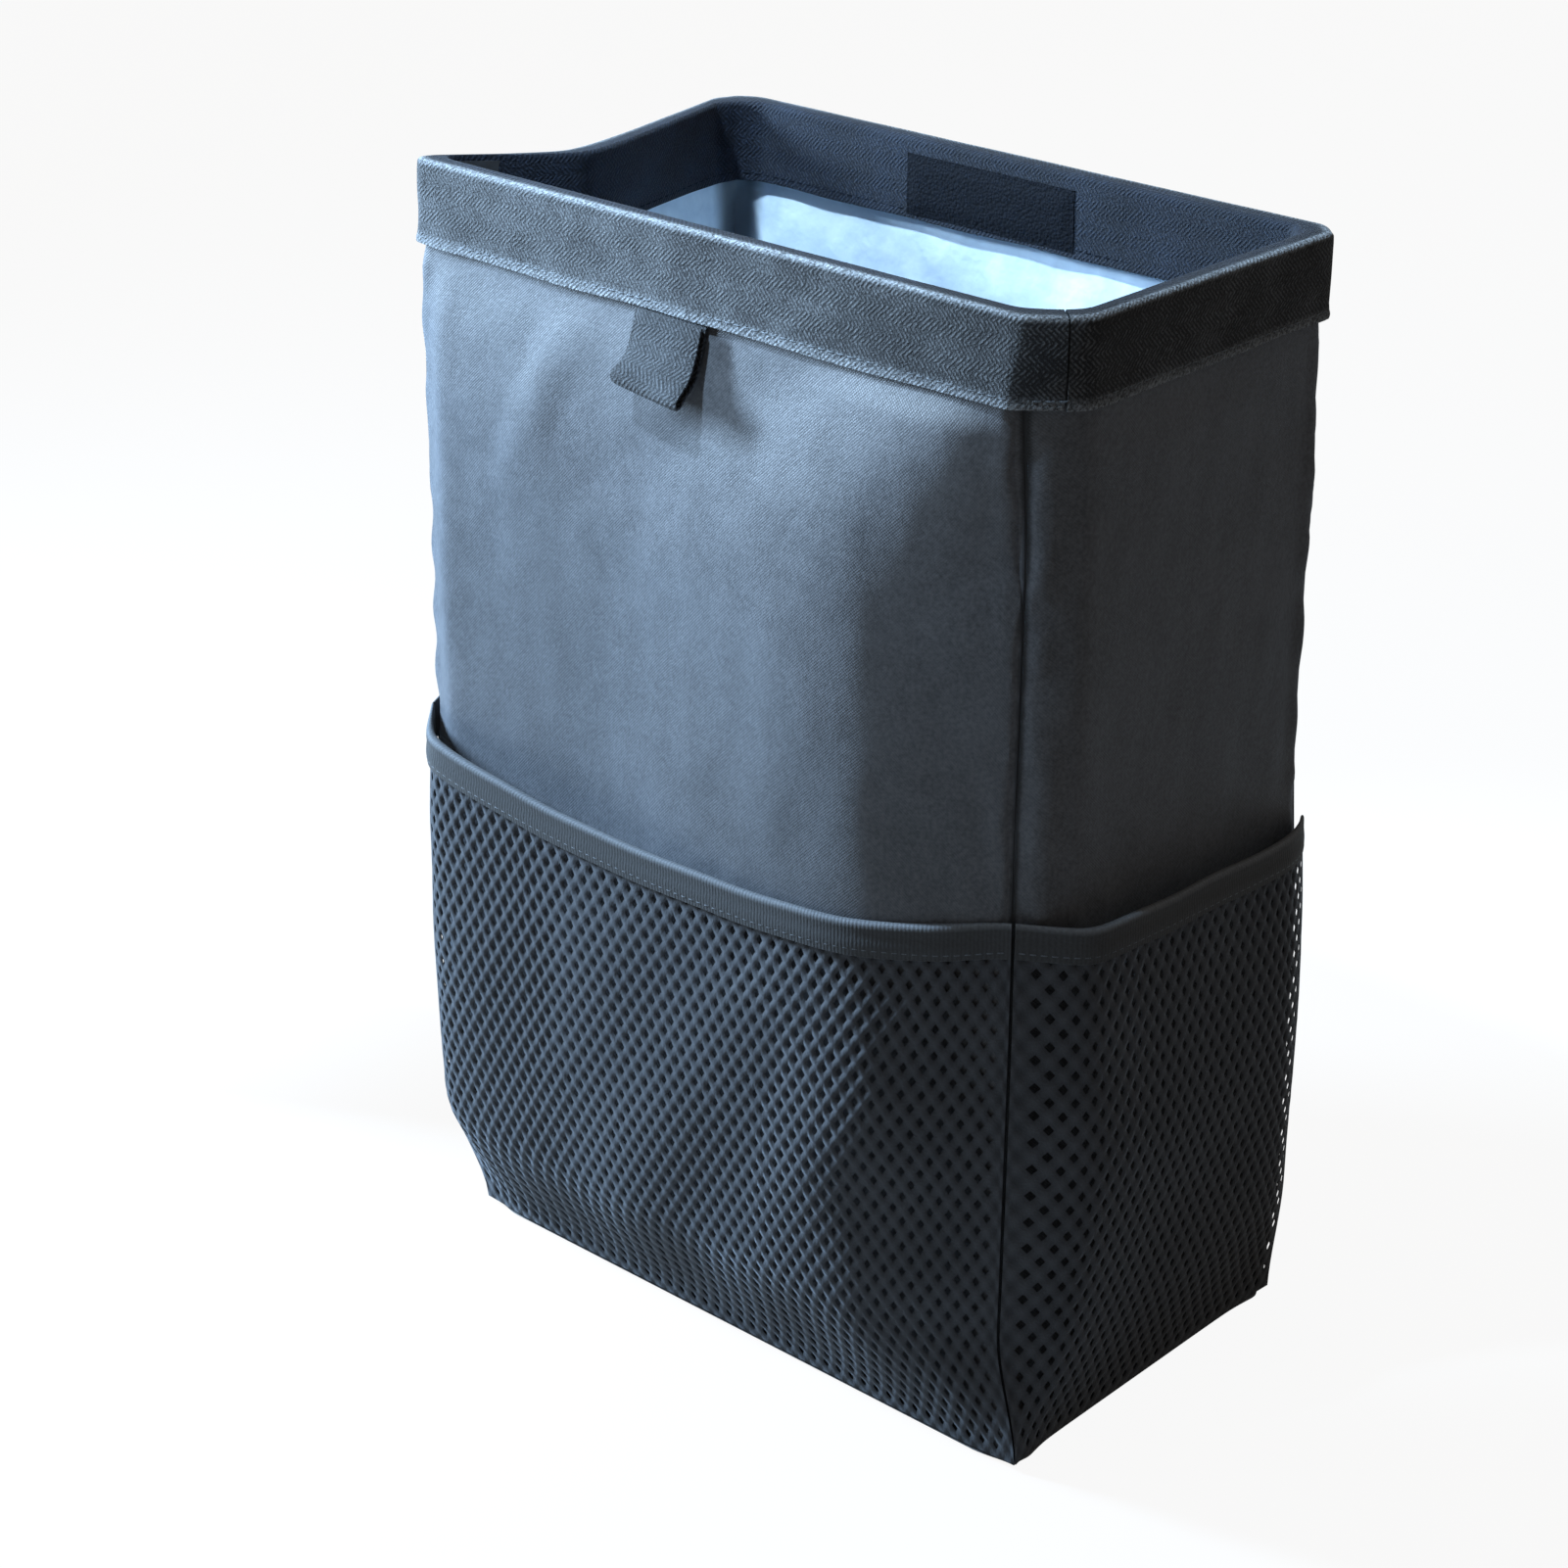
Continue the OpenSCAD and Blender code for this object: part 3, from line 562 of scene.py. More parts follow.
waver = 0.28 * waves(hem_along, 0 * hem_along, 55, 5)[None, :]
low_down = ease((hem_start + 14 - outer_path[:, 1:]) / 14)
sag = np.where(outer_path[:, :1] > 0, waver, -waver) * low_down
puff = 0.16 * (1 + waves(hem_along[None, :], across[:, None], 21, 6))
puff = puff * np.where(outer_path[:, :1] > -1.5, 1, -1)
puff = puff * np.where(np.abs(outer_path[:, 1:] - bag_height) < 1.4, 0.4, 1)
hem_outer = walk_points(hem_walls, hem_shares, outer_path[:, 1:] + sag, outer_path[:, :1] + puff)
hem_inner = walk_points(hem_walls, hem_shares, inner_path[:, 1:] + sag, inner_path[:, :1] + 0 * sag)
plan = np.stack(np.broadcast_arrays(hem_along[None, :], across[:, None]), -1)
hem = solid_sheet("hem_band", hem_outer, hem_inner, plan)
hand_over(hem, "webbing", "hem_webbing")
print("webbing used", round(hem_along[-1] / 1000, 3), "m, folded from", round(across[-1], 1), "mm")

# %% [markdown]
# ## The pull tab and the closure strips
#
# The tab is a short piece of the same webbing folded back on itself and caught under the hem, so
# its lower end stands off the cloth. A smooth curve through the fold's corner points gives its
# profile. The closure strips are flat tapes sewn inside the hem, one on the back and one on the
# front, that hold the mouth shut when pressed together.

# %% Pull tab and closure strips
def smooth_path(points, count):
    """Points spread evenly along a curve through the given ones: a cubic between each two, whose
    slope at a point is half the step from the point before to the point after."""
    p = np.asarray(points, float)
    p = np.concatenate([[2 * p[0] - p[1]], p, [2 * p[-1] - p[-2]]])
    t = np.linspace(0, len(p) - 3 - 1e-9, 12 * count)
    k = t.astype(int)
    f = (t - k)[:, None]
    a, b, c, d = p[k], p[k + 1], p[k + 2], p[k + 3]
    q = 0.5 * (2 * b + (c - a) * f + (2 * a - 5 * b + 4 * c - d) * f ** 2
               + (3 * b - a - 3 * c + d) * f ** 3)
    s = walk_lengths(q)
    return np.stack([np.interp(np.linspace(0, s[-1], count), s, q[:, j]) for j in range(q.shape[1])], -1)


tab_top = hem_start - layer_gap
tab_low = tab_top - tab_drop
t = tab_webbing
fold_points = [[layer_gap + t / 2, tab_top + 0.2], [2.3, tab_low + 7],
               [tab_lift - 1.5 * t - 1.5, tab_low + 2.6], [tab_lift - 1.35 * t, tab_low + 0.75],
               [tab_lift - 0.5 * t, tab_low + 0.6], [tab_lift - 0.1 * t, tab_low + 2.8],
               [4.6, tab_low + 8], [layer_gap + 1.5 * t + 0.5, tab_top + 0.2]]
centre_line = smooth_path(fold_points, 44)
step = np.gradient(centre_line, axis=0)
side = np.stack([-step[:, 1], step[:, 0]], -1) / np.linalg.norm(step, axis=1)[:, None]
half_way = np.linspace(-1, 1, 15)
tab_shares = tab_centre + half_way * tab_width / 2 / rim_width
thin = 0.5 * t * (1 - 0.5 * np.abs(half_way) ** 12)


def tab_face(sign):
    """The profile moved half a thickness to one side and carried across the tab's width, with a
    slight twist that grows as the tab stands off the cloth."""
    off = centre_line[:, :1] + sign * side[:, :1] * thin[None, :]
    z = centre_line[:, 1:] + sign * side[:, 1:] * thin[None, :]
    twist = half_way[None, :] * 0.9 * (centre_line[:, :1] - 1) / 6
    return skin(0, tab_shares[None, :] + 0 * off, z - twist, off + 0.5 * twist)


tab_across = tab_shares[None, :] * rim_width
plan = np.stack(np.broadcast_arrays(tab_across, walk_lengths(centre_line)[:, None]), -1)
tab = solid_sheet("tab_loop", tab_face(-1), tab_face(1), plan)
hand_over(tab, "webbing", "pull_tab")


def tape_steps(length, first, count):
    """Distances along a tape: three fine steps at each end, count even ones between."""
    ends = np.array([0, 0.5, 1.2])
    return np.concatenate([ends, np.linspace(first, length - first, count), length - ends[::-1]])


def closure(i, centre, name, node):
    """A flat tape on the hem's inner face, its edges thinned by the stitching. It faces into the bag."""
    x, y = np.meshgrid(tape_steps(closure_length, 2.5, 40), tape_steps(closure_height, 2.2, 12))
    rim = np.minimum(np.minimum(x, closure_length - x), np.minimum(y, closure_height - y))
    thick = closure_thickness * (0.15 + 0.4 * ease(rim / 5))
    u = centre + (x / closure_length - 0.5) * closure_length / rim_width
    z = bag_height - closure_drop - closure_height + y
    faces = (skin(i, u, z, off) for off in (closure_out + 0.1, closure_out - thick))
    hand_over(solid_sheet(name, *faces, np.stack([x, y], -1)), "closure", node)


closure(2, 0.53, "loop_strip", "closure_loop_strip")
closure(0, 0.47, "hook_strip", "closure_hook_strip")

# %% [markdown]
# ## The mesh pockets
#
# Knitted mesh has rows of small holes, each row shifted by half a hole. Seen as a pattern, that is
# a lattice of diamonds with a rounded hole in every diamond. The holes are cut into the mesh itself,
# so the cloth shows through them from any side, and the knots stand a little prouder than the hole
# edges, which makes the yarns look round. The pocket swells off the wall and is gathered flat at
# its seams and its bound edge. A knitted mesh is drawn over its swell, so its flat cut is smaller
# than the surface that it covers.

# %% Mesh pockets
mouth_depth, full_depth, steepness = [8.0, 8.5, 0, 8.5], [10.0, 12.0, 0, 12.0], [9, 6, 0, 5]
fullest_at = 0.62
edge_room = binding + layer_gap * 2
selvedge, hole_wide, hole_high = 1.6, 2.5, 3.9


def pocket_top(i, u):
    """Height of the pocket's edge: a sagging parabola in front, a slope on the sides."""
    if i == 0:
        return pocket_height - pocket_sag * 4 * u * (1 - u)
    return pocket_height - side_fall * (u if i == 1 else 1 - u)


def seam_room(i, u, z):
    """Room that the binding needs behind it, also at the seams."""
    return edge_room * ease((z / pocket_top(i, u) - 0.7) / 0.15)


def pocket_swell(i, u, z):
    """How far the mesh swells off the wall: full at two thirds of its height, less at the mouth,
    nothing at the seams."""
    v = z / pocket_top(i, u)
    rise = full_depth[i] * np.sin(np.pi / 2 * np.clip(v, 0, 1) / fullest_at)
    near_top = mouth_depth[i] + (full_depth[i] - mouth_depth[i]) * ease((1 - v) / (1 - fullest_at))
    shape = np.where(v < fullest_at, rise, near_top)
    full = np.maximum(shape - seam_room(i, u, z), 0) * (1 - np.abs(2 * u - 1) ** steepness[i])
    if i != 0:
        return full
    # the front pocket turns with the wall: its ridge comes nearest to the seam at mid height
    room = np.clip(30 + 0.45 * np.abs(z - 104), 30, ridge_room)
    e = (1 - u) * base_width / room
    return full * (0.25 + 0.75 * (e + 1 - np.sqrt((e - 1) ** 2 + 0.01)) / 2)


def pocket_skin(i, u, z, off):
    """A point of the pocket, with shallow waves that stand outwards and fade at every edge. Where
    the layers enter the upright seams, the stitching presses them to a third of their thickness."""
    width = base_width if i % 2 == 0 else base_depth
    v = z / pocket_top(i, u)
    calm = ease(np.minimum(u, 1 - u) * width / 18) * ease(v / 0.15) * ease((0.93 - v) / 0.12)
    ripple = 0.4 * (1 + waves(u * width, z, 52, 90 + i)) * calm
    pinch = 0.3 + 0.7 * ease(np.minimum(u, 1 - u) * width / 22)
    points = skin(i, u, z, (pocket_base + seam_room(i, u, z) + off) * pinch)
    facing = np.array([[0, -1, 0], [1, 0, 0], [0, 1, 0], [-1, 0, 0]])[i]
    return points + (pocket_swell(i, u, z) + ripple)[..., None] * facing


def net(i, name, node):
    """The lattice as arrays: knots on a grid, eight points round each hole, twelve triangles
    between a diamond's corners and its hole, on both faces, and a wall round every hole."""
    width = base_width if i % 2 == 0 else base_depth
    e = selvedge / width
    nw = 2 * int(round(width * (1 - 2 * e) / hole_wide / 2))
    nh = 2 * int(round((pocket_height - binding_height - wall_start) / hole_high / 2))
    slack = 0.35 / width

    def place(x, y):
        """Share and height of a grid place: a selvedge column at each side, even ones between."""
        near, far = slack + (e - slack) * x, 1 - e + (e - slack) * (x - nw - 1)
        between = e + (1 - 2 * e) * (x - 1) / nw
        u = np.where(x < 1, near, np.where(x > nw + 1, far, between))
        low, high = wall_start, pocket_top(i, u) - binding_height * 0.5
        return u, low + (high - low) * y / nh

    def k(a, b):
        """Number of the knot in column a and row b."""
        return b * cols + a

    def half_diamonds(before, at, after, tip):
        """The two triangles of each half diamond between an edge of the lattice and its tip."""
        return [np.stack(v, -1) for v in ((before, at, tip), (at, after, tip))]

    cols = nw + 3
    gx, gy = np.meshgrid(np.arange(cols), np.arange(nh + 1))
    cx, cy = np.meshgrid(np.arange(2, nw + 1), np.arange(1, nh))
    odd = (cx - 1 + cy) % 2 == 1
    cx, cy = cx[odd], cy[odd]
    turns = np.radians(np.arange(8) * 45)
    reach = np.array([0.40, 0.29] * 4)
    hx = cx[:, None] + reach * np.cos(turns)
    hy = cy[:, None] + reach * np.sin(turns)
    spot = np.stack([np.concatenate([gx.ravel(), hx.ravel()]), np.concatenate([gy.ravel(), hy.ravel()])])
    u, z = place(*spot)
    knot = np.concatenate([np.ones(gx.size), np.zeros(hx.size)])
    outer = pocket_skin(i, u, z, mesh * (0.66 + 0.34 * knot))
    inner = pocket_skin(i, u, z, mesh * (0.34 - 0.34 * knot))
    corner = np.stack([k(cx + 1, cy), k(cx, cy + 1), k(cx - 1, cy), k(cx, cy - 1)], -1)
    hole = gx.size + np.arange(len(cx))[:, None] * 8 + np.arange(8)
    tris = []
    for s in range(4):
        q, r = corner[:, s], corner[:, (s + 1) % 4]
        a, b, c = hole[:, 2 * s], hole[:, 2 * s + 1], hole[:, (2 * s + 2) % 8]
        tris += [np.stack(v, -1) for v in ((q, b, a), (q, r, b), (r, c, b))]
    # both counts of the lattice are even, so its tips meet every edge at the even places across
    # and at the odd places up
    a, y = np.arange(2, nw + 1, 2), np.arange(1, nh, 2)
    tris += half_diamonds(k(a - 1, 0), k(a, 0), k(a + 1, 0), k(a, 1))
    tris += half_diamonds(k(a + 1, nh), k(a, nh), k(a - 1, nh), k(a, nh - 1))
    tris += half_diamonds(k(1, y + 1), k(1, y), k(1, y - 1), k(2, y))
    tris += half_diamonds(k(nw + 1, y - 1), k(nw + 1, y), k(nw + 1, y + 1), k(nw, y))
    tris = np.concatenate(tris)
    y = np.arange(nh)
    quads = np.concatenate([np.stack([k(c, y), k(c + 1, y), k(c + 1, y + 1), k(c, y + 1)], -1)
                            for c in (0, nw + 1)])
    n = len(u)
    loop = np.concatenate([k(np.arange(cols - 1), 0), k(cols - 1, y),
                           k(np.arange(cols - 1, 0, -1), nh), k(0, nh - y)])
    a, b = loop, np.roll(loop, -1)
    band = np.stack([b, a, a + n, b + n], -1)
    ha, hb = hole, np.roll(hole, -1, axis=1)
    walls_in = np.stack([ha, hb, hb + n, ha + n], -1).reshape(-1, 4)
    groups = [tris, tris[:, ::-1] + n, quads, quads[:, ::-1] + n, band, walls_in]
    plan = spot.T * np.array([hole_wide, hole_high])
    plan = np.concatenate([plan, plan])
    piece = put_mesh(name, np.concatenate([outer, inner]), groups, [plan[g] for g in groups], crease=62)
    hand_over(piece, "mesh", node)


for i, side in ((0, "front"), (1, "right"), (3, "left")):
    net(i, side + "_net", side + "_mesh_pocket")

# %% [markdown]
# ## The bound edges
#
# A ribbed tape is folded over each pocket's upper edge and sewn through. Its profile is a long
# narrow U with a rounded top. It follows the strip of mesh that it holds, so it takes the same
# sag and the same swell.

# %% Pocket bindings
def bound_edge(i, name, node):
    """The U-shaped profile carried along the pocket's edge, puffed a little between its seams."""
    width = base_width if i % 2 == 0 else base_depth
    x = np.linspace(0.4, width - 0.4, int(width / 2.0))
    u = x / width
    g, h = layer_gap, binding_height
    o, r = g + mesh, g + binding
    down = np.concatenate([[-h, -h + 0.25], np.linspace(-h + 1, g * 0.5, 9)])
    turn = np.radians(np.linspace(12, 168, 9))
    middle = mesh / 2
    full = middle + r
    puff = 0.32 * bump((down + h * 0.62) / (h * 0.34)) + 0.14 * bump((down + 0.6) / 2)
    puff = puff - 0.3 * (down < -h + 0.1)
    outer_path = np.concatenate([np.stack([o + binding + puff, down], -1),
                                 np.stack([middle + full * np.cos(turn), g * 0.5 + r * np.sin(turn)], -1),
                                 np.stack([-g - binding + 0 * down, down], -1)[::-1]])
    over_edge = np.stack([middle + (middle + g) * np.cos(turn), g * 0.3 + g * 0.7 * np.sin(turn)], -1)
    inner_path = np.concatenate([np.stack([o + 0 * down, down], -1), over_edge,
                                 np.stack([-g + 0 * down, down], -1)[::-1]])

    def on(path):
        """The profile on the pocket: a straight line between the pocket's points at the binding's
        lower edge and at its top, so that the tape stays flat across its height."""
        top = pocket_top(i, u)[None, :]
        t = np.minimum((path[:, 1:] + h) / h, 1)
        a = pocket_skin(i, u[None, :], top - h, path[:, :1])
        b = pocket_skin(i, u[None, :], top + 0 * path[:, :1], path[:, :1])
        q = a + (b - a) * t[..., None]
        q[..., 2] = top + path[:, 1:] + 0.25 * waves(x[None, :], 0 * x[None, :], 34, 140 + i)
        return q

    plan = np.stack(np.broadcast_arrays(x[None, :], walk_lengths(outer_path)[:, None]), -1)
    hand_over(solid_sheet(name, on(outer_path), on(inner_path), plan), "binding", node)


for i, side in ((0, "front"), (1, "right"), (3, "left")):
    bound_edge(i, side + "_edge", side + "_pocket_binding")

# %% [markdown]
# ## Stitches
#
# Thread shows as a row of short, slightly sunk bars. Each is the same small closed bar of a few
# faces, turned along its seam. All the bars of a seam go into one mesh, worked out in one go.

# %% Stitch rows
def stitches(name, start, end, out, slot, thick=0.42):
    """One bar from each start to each end point, lying on the face whose outward direction is out."""
    angles = np.radians(np.arange(6) * 60)
    along = end - start
    length = np.linalg.norm(along, axis=1)[:, None]
    along = along / length
    out = out / np.linalg.norm(out, axis=1)[:, None]
    across = np.cross(along, out)
    shares = np.array([0.0, 0.16, 0.84, 1.0])
    round_off = np.array([0.35, 1.0, 1.0, 0.35])
    arch = np.array([-0.25, 0.1, 0.1, -0.25]) * thick
    ring = (np.cos(angles)[None, :, None] * across[:, None, None]
            + 0.75 * np.sin(angles)[None, :, None] * out[:, None, None])
    p = (start[:, None, None] + shares[None, :, None, None] * (along * length)[:, None, None]
         + ring * (thick / 2 * round_off)[None, :, None, None]
         + arch[None, :, None, None] * out[:, None, None])
    quads = grid_quads(4, 6, True)[:, ::-1]
    caps = np.array([[0, 1, 2, 3, 4, 5], [23, 22, 21, 20, 19, 18]])
    shift = (np.arange(len(start)) * 24)[:, None, None]
    faces = [(quads[None] + shift).reshape(-1, 4), (caps[None] + shift).reshape(-1, 6)]
    hand_over(put_mesh(name, p.reshape(-1, 3), faces, None, 80), slot)


def row_on(line, above, pitch=3.3, share=0.72):
    """Start, end and outward direction of the stitches along a line; above is the line moved out."""
    s = walk_lengths(line)
    a = np.arange(0.6, s[-1] - pitch, pitch)

    def pick(at, arr):
        return np.stack([np.interp(at, s, arr[:, j]) for j in range(3)], -1)

    return pick(a, line), pick(a + pitch * share, line), pick(a, above - line)


def gather(rows):
    """Several rows joined into one."""
    return [np.concatenate(v) for v in zip(*rows)]


fine = np.linspace(0.004, 0.996, 300)
for name, face, way in (("hem_stitches", out_face + 0.18, 1), ("inner_hem_stitches", in_face - 0.18, -1)):
    lines = [[skin(i, fine, hem_start + 2.6, face + d) for d in (0, way)] for i in range(4)]
    stitches(name, *gather([row_on(*pair) for pair in lines]), "webbing")


def edge_row(i):
    """Stitches through the binding, two millimetres above its lower edge."""
    lift, z = mesh + layer_gap + binding + 0.1, pocket_top(i, fine) - binding_height + 2
    return row_on(pocket_skin(i, fine, z, lift), pocket_skin(i, fine, z, lift + 1), 2.9)


stitches("binding_stitches", *gather([edge_row(i) for i in (0, 1, 3)]), "binding")

# %% [markdown]
# ## Writing materials as sums
#
# A material is a small program of nodes. To read like one, a socket is wrapped in a class whose
# operators each add a Math node, so `1 - mask` or `weave * 0.3 + grain` builds the nodes by
# itself. Any other node comes from one method that takes its type, its settings and its inputs.

# %% Shader expressions
class Wire:
    """A value in a material. Each operator adds one Math node and gives its result."""

    def __init__(self, finish, socket):
        self.finish, self.socket = finish, socket

    def math(self, operation, *values, clamp=False):
        return self.finish.node("ShaderNodeMath", {"operation": operation, "use_clamp": clamp}, *values)

    def __add__(self, other):
        return self.math("ADD", self, other)

    def __mul__(self, other):
        return self.math("MULTIPLY", self, other)

    def __sub__(self, other):
        return self.math("SUBTRACT", self, other)

    def __rsub__(self, other):
        return self.math("SUBTRACT", other, self)

    def __truediv__(self, other):
        return self.math("DIVIDE", self, other)

    __radd__, __rmul__ = __add__, __mul__

    def sine(self):
        return self.math("SINE", self)

    def cosine(self):
        return self.math("COSINE", self)

    def size(self):
        return self.math("ABSOLUTE", self)

    def part(self):
        return self.math("FRACT", self)

    def clip(self):
        return self.math("ADD", self, 0.0, clamp=True)

    def step(self, low, high):
        """0 below low, 1 above high, smooth between."""
        settings = {"interpolation_type": "SMOOTHSTEP"}
        return self.finish.node("ShaderNodeMapRange", settings, self, low, high, 0.0, 1.0)


class Finish:
    """A material under construction, with one Principled shader at its end."""

    def __init__(self, name, roughness=0.7, **constants):
        self.material = bpy.data.materials.new(name)
        self.material.use_nodes = True
        self.nodes, self.links = self.material.node_tree.nodes, self.material.node_tree.links
        self.shader = self.nodes["Principled BSDF"]
        self.shader.inputs["Roughness"].default_value = roughness
        for socket, value in constants.items():
            self.shader.inputs[socket.replace("_", " ")].default_value = value

    def node(self, kind, settings=None, *values, output=0, **named):
        """A node of that kind: its settings first, then values or wires for its inputs in order or
        by name. Gives the wire of one output."""
        n = self.nodes.new(kind)
        for key, value in (settings or {}).items():
            setattr(n, key, value)
        slots = [s for s in n.inputs if s.enabled and not s.is_unavailable]
        pairs = list(zip(slots, values)) + [(n.inputs[k.replace("_", " ")], v) for k, v in named.items()]
        for socket, value in pairs:
            if isinstance(value, Wire):
                self.links.new(value.socket, socket)
            else:
                socket.default_value = value
        if isinstance(output, str):
            return Wire(self, n.outputs[output])
        return Wire(self, [s for s in n.outputs if s.enabled][output])

    def place(self):
        """Object coordinates in metres."""
        return self.node("ShaderNodeTexCoord", output="Object")

    def cloth_map(self):
        """Metres along and across the cloth, as two wires."""
        at = self.node("ShaderNodeUVMap", {"uv_map": "cloth_map"})
        parts = self.node("ShaderNodeSeparateXYZ", None, at).socket.node.outputs
        return Wire(self, parts[0]), Wire(self, parts[1])

    def noise(self, at, size, detail=2.0, rough=0.5):
        """Cloudy noise from 0 to 1 whose lumps are about size metres."""
        return self.node("ShaderNodeTexNoise", None, Vector=at, Scale=1 / size, Detail=detail,
                         Roughness=rough)

    def blend(self, share, one, two):
        """A colour between one and two."""
        pair = [c if isinstance(c, Wire) else (*c, 1.0) for c in (one, two)]
        return self.node("ShaderNodeMix", {"data_type": "RGBA"}, share, *pair)

    def finish_with(self, colour, roughness, relief):
        """Links what varies: the colour, the roughness, and a relief in metres through a Bump node."""
        tilt = self.node("ShaderNodeBump", None, Strength=1.0, Distance=1.0, Height=relief)
        for name, value in (("Base Color", colour), ("Roughness", roughness), ("Normal", tilt)):
            self.links.new(value.socket, self.shader.inputs[name])
        return self.material


# %% [markdown]
# ## Outer cloth
#
# The walls are a dark slate polyester with a heathered yarn: close up it is a fine mottle, from a
# distance a dark slate with a soft blue sheen where light rakes over it. Grain of three sizes
# gives the mottle, a plain weave too fine to see from afar gives the bump, and the cloth is darkest
# in the last millimetre before its edge, where no light gets into the seam. The cloth map's first
# number tells how far that edge is.

# %% Outer cloth finish
weave_pitch, weave_height = 0.0009, 0.00003


def outer_cloth(name, dark, pale):
    f = Finish(name, 0.6, Sheen_Weight=0.5, Sheen_Roughness=0.4, Sheen_Tint=(0.7, 0.82, 1.0, 1),
               Specular_IOR_Level=0.5)
    at = f.place()
    x, y = f.cloth_map()
    yarn = f.noise(at, 0.0011, 3.0, 0.6)
    mottle = f.noise(at, 0.006, 3.0, 0.55)
    cloud = f.noise(at, 0.045, 2.0)
    share = (yarn - 0.5) * 2.2 + (mottle - 0.5) * 1.0 + (cloud - 0.5) * 0.7 + 0.5
    # painted shade: the last millimetre of cloth before a seam is painted near black
    seam = (x + (mottle - 0.5) * 0.0012).step(0.0003, 0.0016)
    turns = 2 * math.pi / weave_pitch
    weave = (x * turns).sine() * (y * turns).sine()
    relief = weave * weave_height + yarn * 0.00012 + mottle * 0.00012
    rough = 0.56 + (mottle - 0.5) * 0.25
    colour = f.blend(seam, (0.006, 0.006, 0.008), f.blend(share.clip(), dark, pale))
    return f.finish_with(colour, rough, relief)


slate = outer_cloth("slate_cloth", (0.044, 0.047, 0.055), (0.098, 0.104, 0.120))
print("outer cloth ready")

# %% [markdown]
# ## Webbing
#
# Herringbone is a twill that changes direction: short slanted ridges lean one way in one band and
# the other way in the next, and the bands run along the tape. The slant comes from adding or
# taking away the distance across, by band. Where the fold and the lower edge rub, the yarn is worn
# paler, and along the fold's crest that paler colour is also a painted highlight. The leg inside
# the bag is darker, and towards the right the tape is painted a little darker, a painted shade
# where the lamp's light falls off.

# %% Webbing finish
twill_band, twill_ridge = 0.0036, 0.0015
fold_crest = float(across[len(leg_z) + 5]) / 1000
inner_leg_tones = ((0.003, 0.005, 0.011), (0.019, 0.028, 0.050))


def herringbone(name, dark, pale, wear_and_highlight=None):
    """Ridges along the sum of the distance along and a zigzag of the distance across. With a colour
    for wear and highlight the tape is the hem: paler at its crest and lower edge, from wear and at
    the crest also a painted highlight, and darker past the crest."""
    f = Finish(name, 0.75, Sheen_Weight=0.08, Sheen_Roughness=0.5, Specular_IOR_Level=0.2)
    at = f.place()
    along, over = f.cloth_map()
    zigzag = ((over / (2 * twill_band)).part() - 0.5).size() * (2 * twill_band)
    ribs = ((along + zigzag) * (2 * math.pi / twill_ridge)).sine()
    yarn = f.noise(at, 0.0008, 2.0, 0.7)
    patch = f.noise(at, 0.016, 3.0, 0.6)
    speck = ((yarn - 0.5) * 3.2 + 0.5).clip()
    height = (ribs * 0.28 + 0.5) * (0.25 + speck * 1.1)
    # painted shade: the tape is painted darker towards the right, where the lamp's light falls off
    right_shade = f.node("ShaderNodeSeparateXYZ", None, at).step(-0.11, 0.12)
    tone = height * 0.95 + (patch - 0.5) * 1.1 - right_shade * 0.28
    colour = f.blend(tone.clip(), dark, pale)
    if wear_and_highlight is not None:
        # the crest and the lower edge are painted paler: wear, and at the crest also a painted highlight
        past = over - fold_crest
        crest = 1 - (past / 0.0017).size().clip()
        edge_rub = 1 - ((over - 0.0010) / 0.0034).size().clip()
        rub_and_highlight = ((crest * 1.3 + edge_rub * 0.8) * (speck * 0.9 + 0.1)).clip()
        colour = f.blend(rub_and_highlight, colour, wear_and_highlight)
        # the leg past the crest is darker
        colour = f.blend(past.step(0.0006, 0.0030), colour, f.blend(tone.clip(), *inner_leg_tones))
    return f.finish_with(colour, 0.6 + yarn * 0.25, height * 0.00026 + yarn * 0.00016)


band_finish = herringbone("hem_herringbone", (0.012, 0.013, 0.016), (0.135, 0.146, 0.162),
                          (0.31, 0.34, 0.38))
tab_finish = herringbone("tab_herringbone", (0.008, 0.009, 0.012), (0.105, 0.116, 0.133))
print("herringbone bands", twill_band * 1000, "mm wide, ridges", twill_ridge * 1000, "mm apart")

# %% [markdown]
# ## Liner, mesh, binding, strips and thread
#
# The liner is coated, so it is pale, smooth and has a satin gleam with faint creases, drawn also as
# thin darker lines of painted shade. Its back left corner is painted nearly black, a painted shade in
# the corner, which the map's distance round the bag finds. The mesh is a dull knitted yarn, painted
# palest on its knots and darkest round its holes, a painted highlight and shade. The binding is a
# ribbed tape with a painted highlight along its fold. The closure strips are a fuzzy pile on one
# side and fine hooks on the other, both seen as a dense dark nap. The thread is twisted, so its bars
# have slanting ridges.

# %% Other finishes
back_left = float(wall_widths[:3].sum()) / 1000


def liner_finish():
    f = Finish("pale_liner", 0.38, Specular_IOR_Level=0.5, Coat_Weight=0.15, Coat_Roughness=0.3)
    at = f.place()
    crease = f.noise(at, 0.030, 4.0, 0.55)
    fine_crease = f.noise(at, 0.007, 3.0, 0.6)
    # painted shade: thin darker lines along the creases
    crease_shade = ((crease - 0.5) * 9).size().clip()
    colour = f.blend(crease_shade, (0.56, 0.67, 0.78), (0.68, 0.79, 0.89))
    along, _ = f.cloth_map()
    # painted shade: the liner is painted nearly black near its back left corner
    corner_shade = ((along - back_left) / 0.011).size().step(0.35, 1.0)
    colour = f.blend(corner_shade, f.blend(0.88, colour, (0.03, 0.035, 0.042)), colour)
    return f.finish_with(colour, 0.30 + fine_crease * 0.2, crease * 0.0016 + fine_crease * 0.0003)


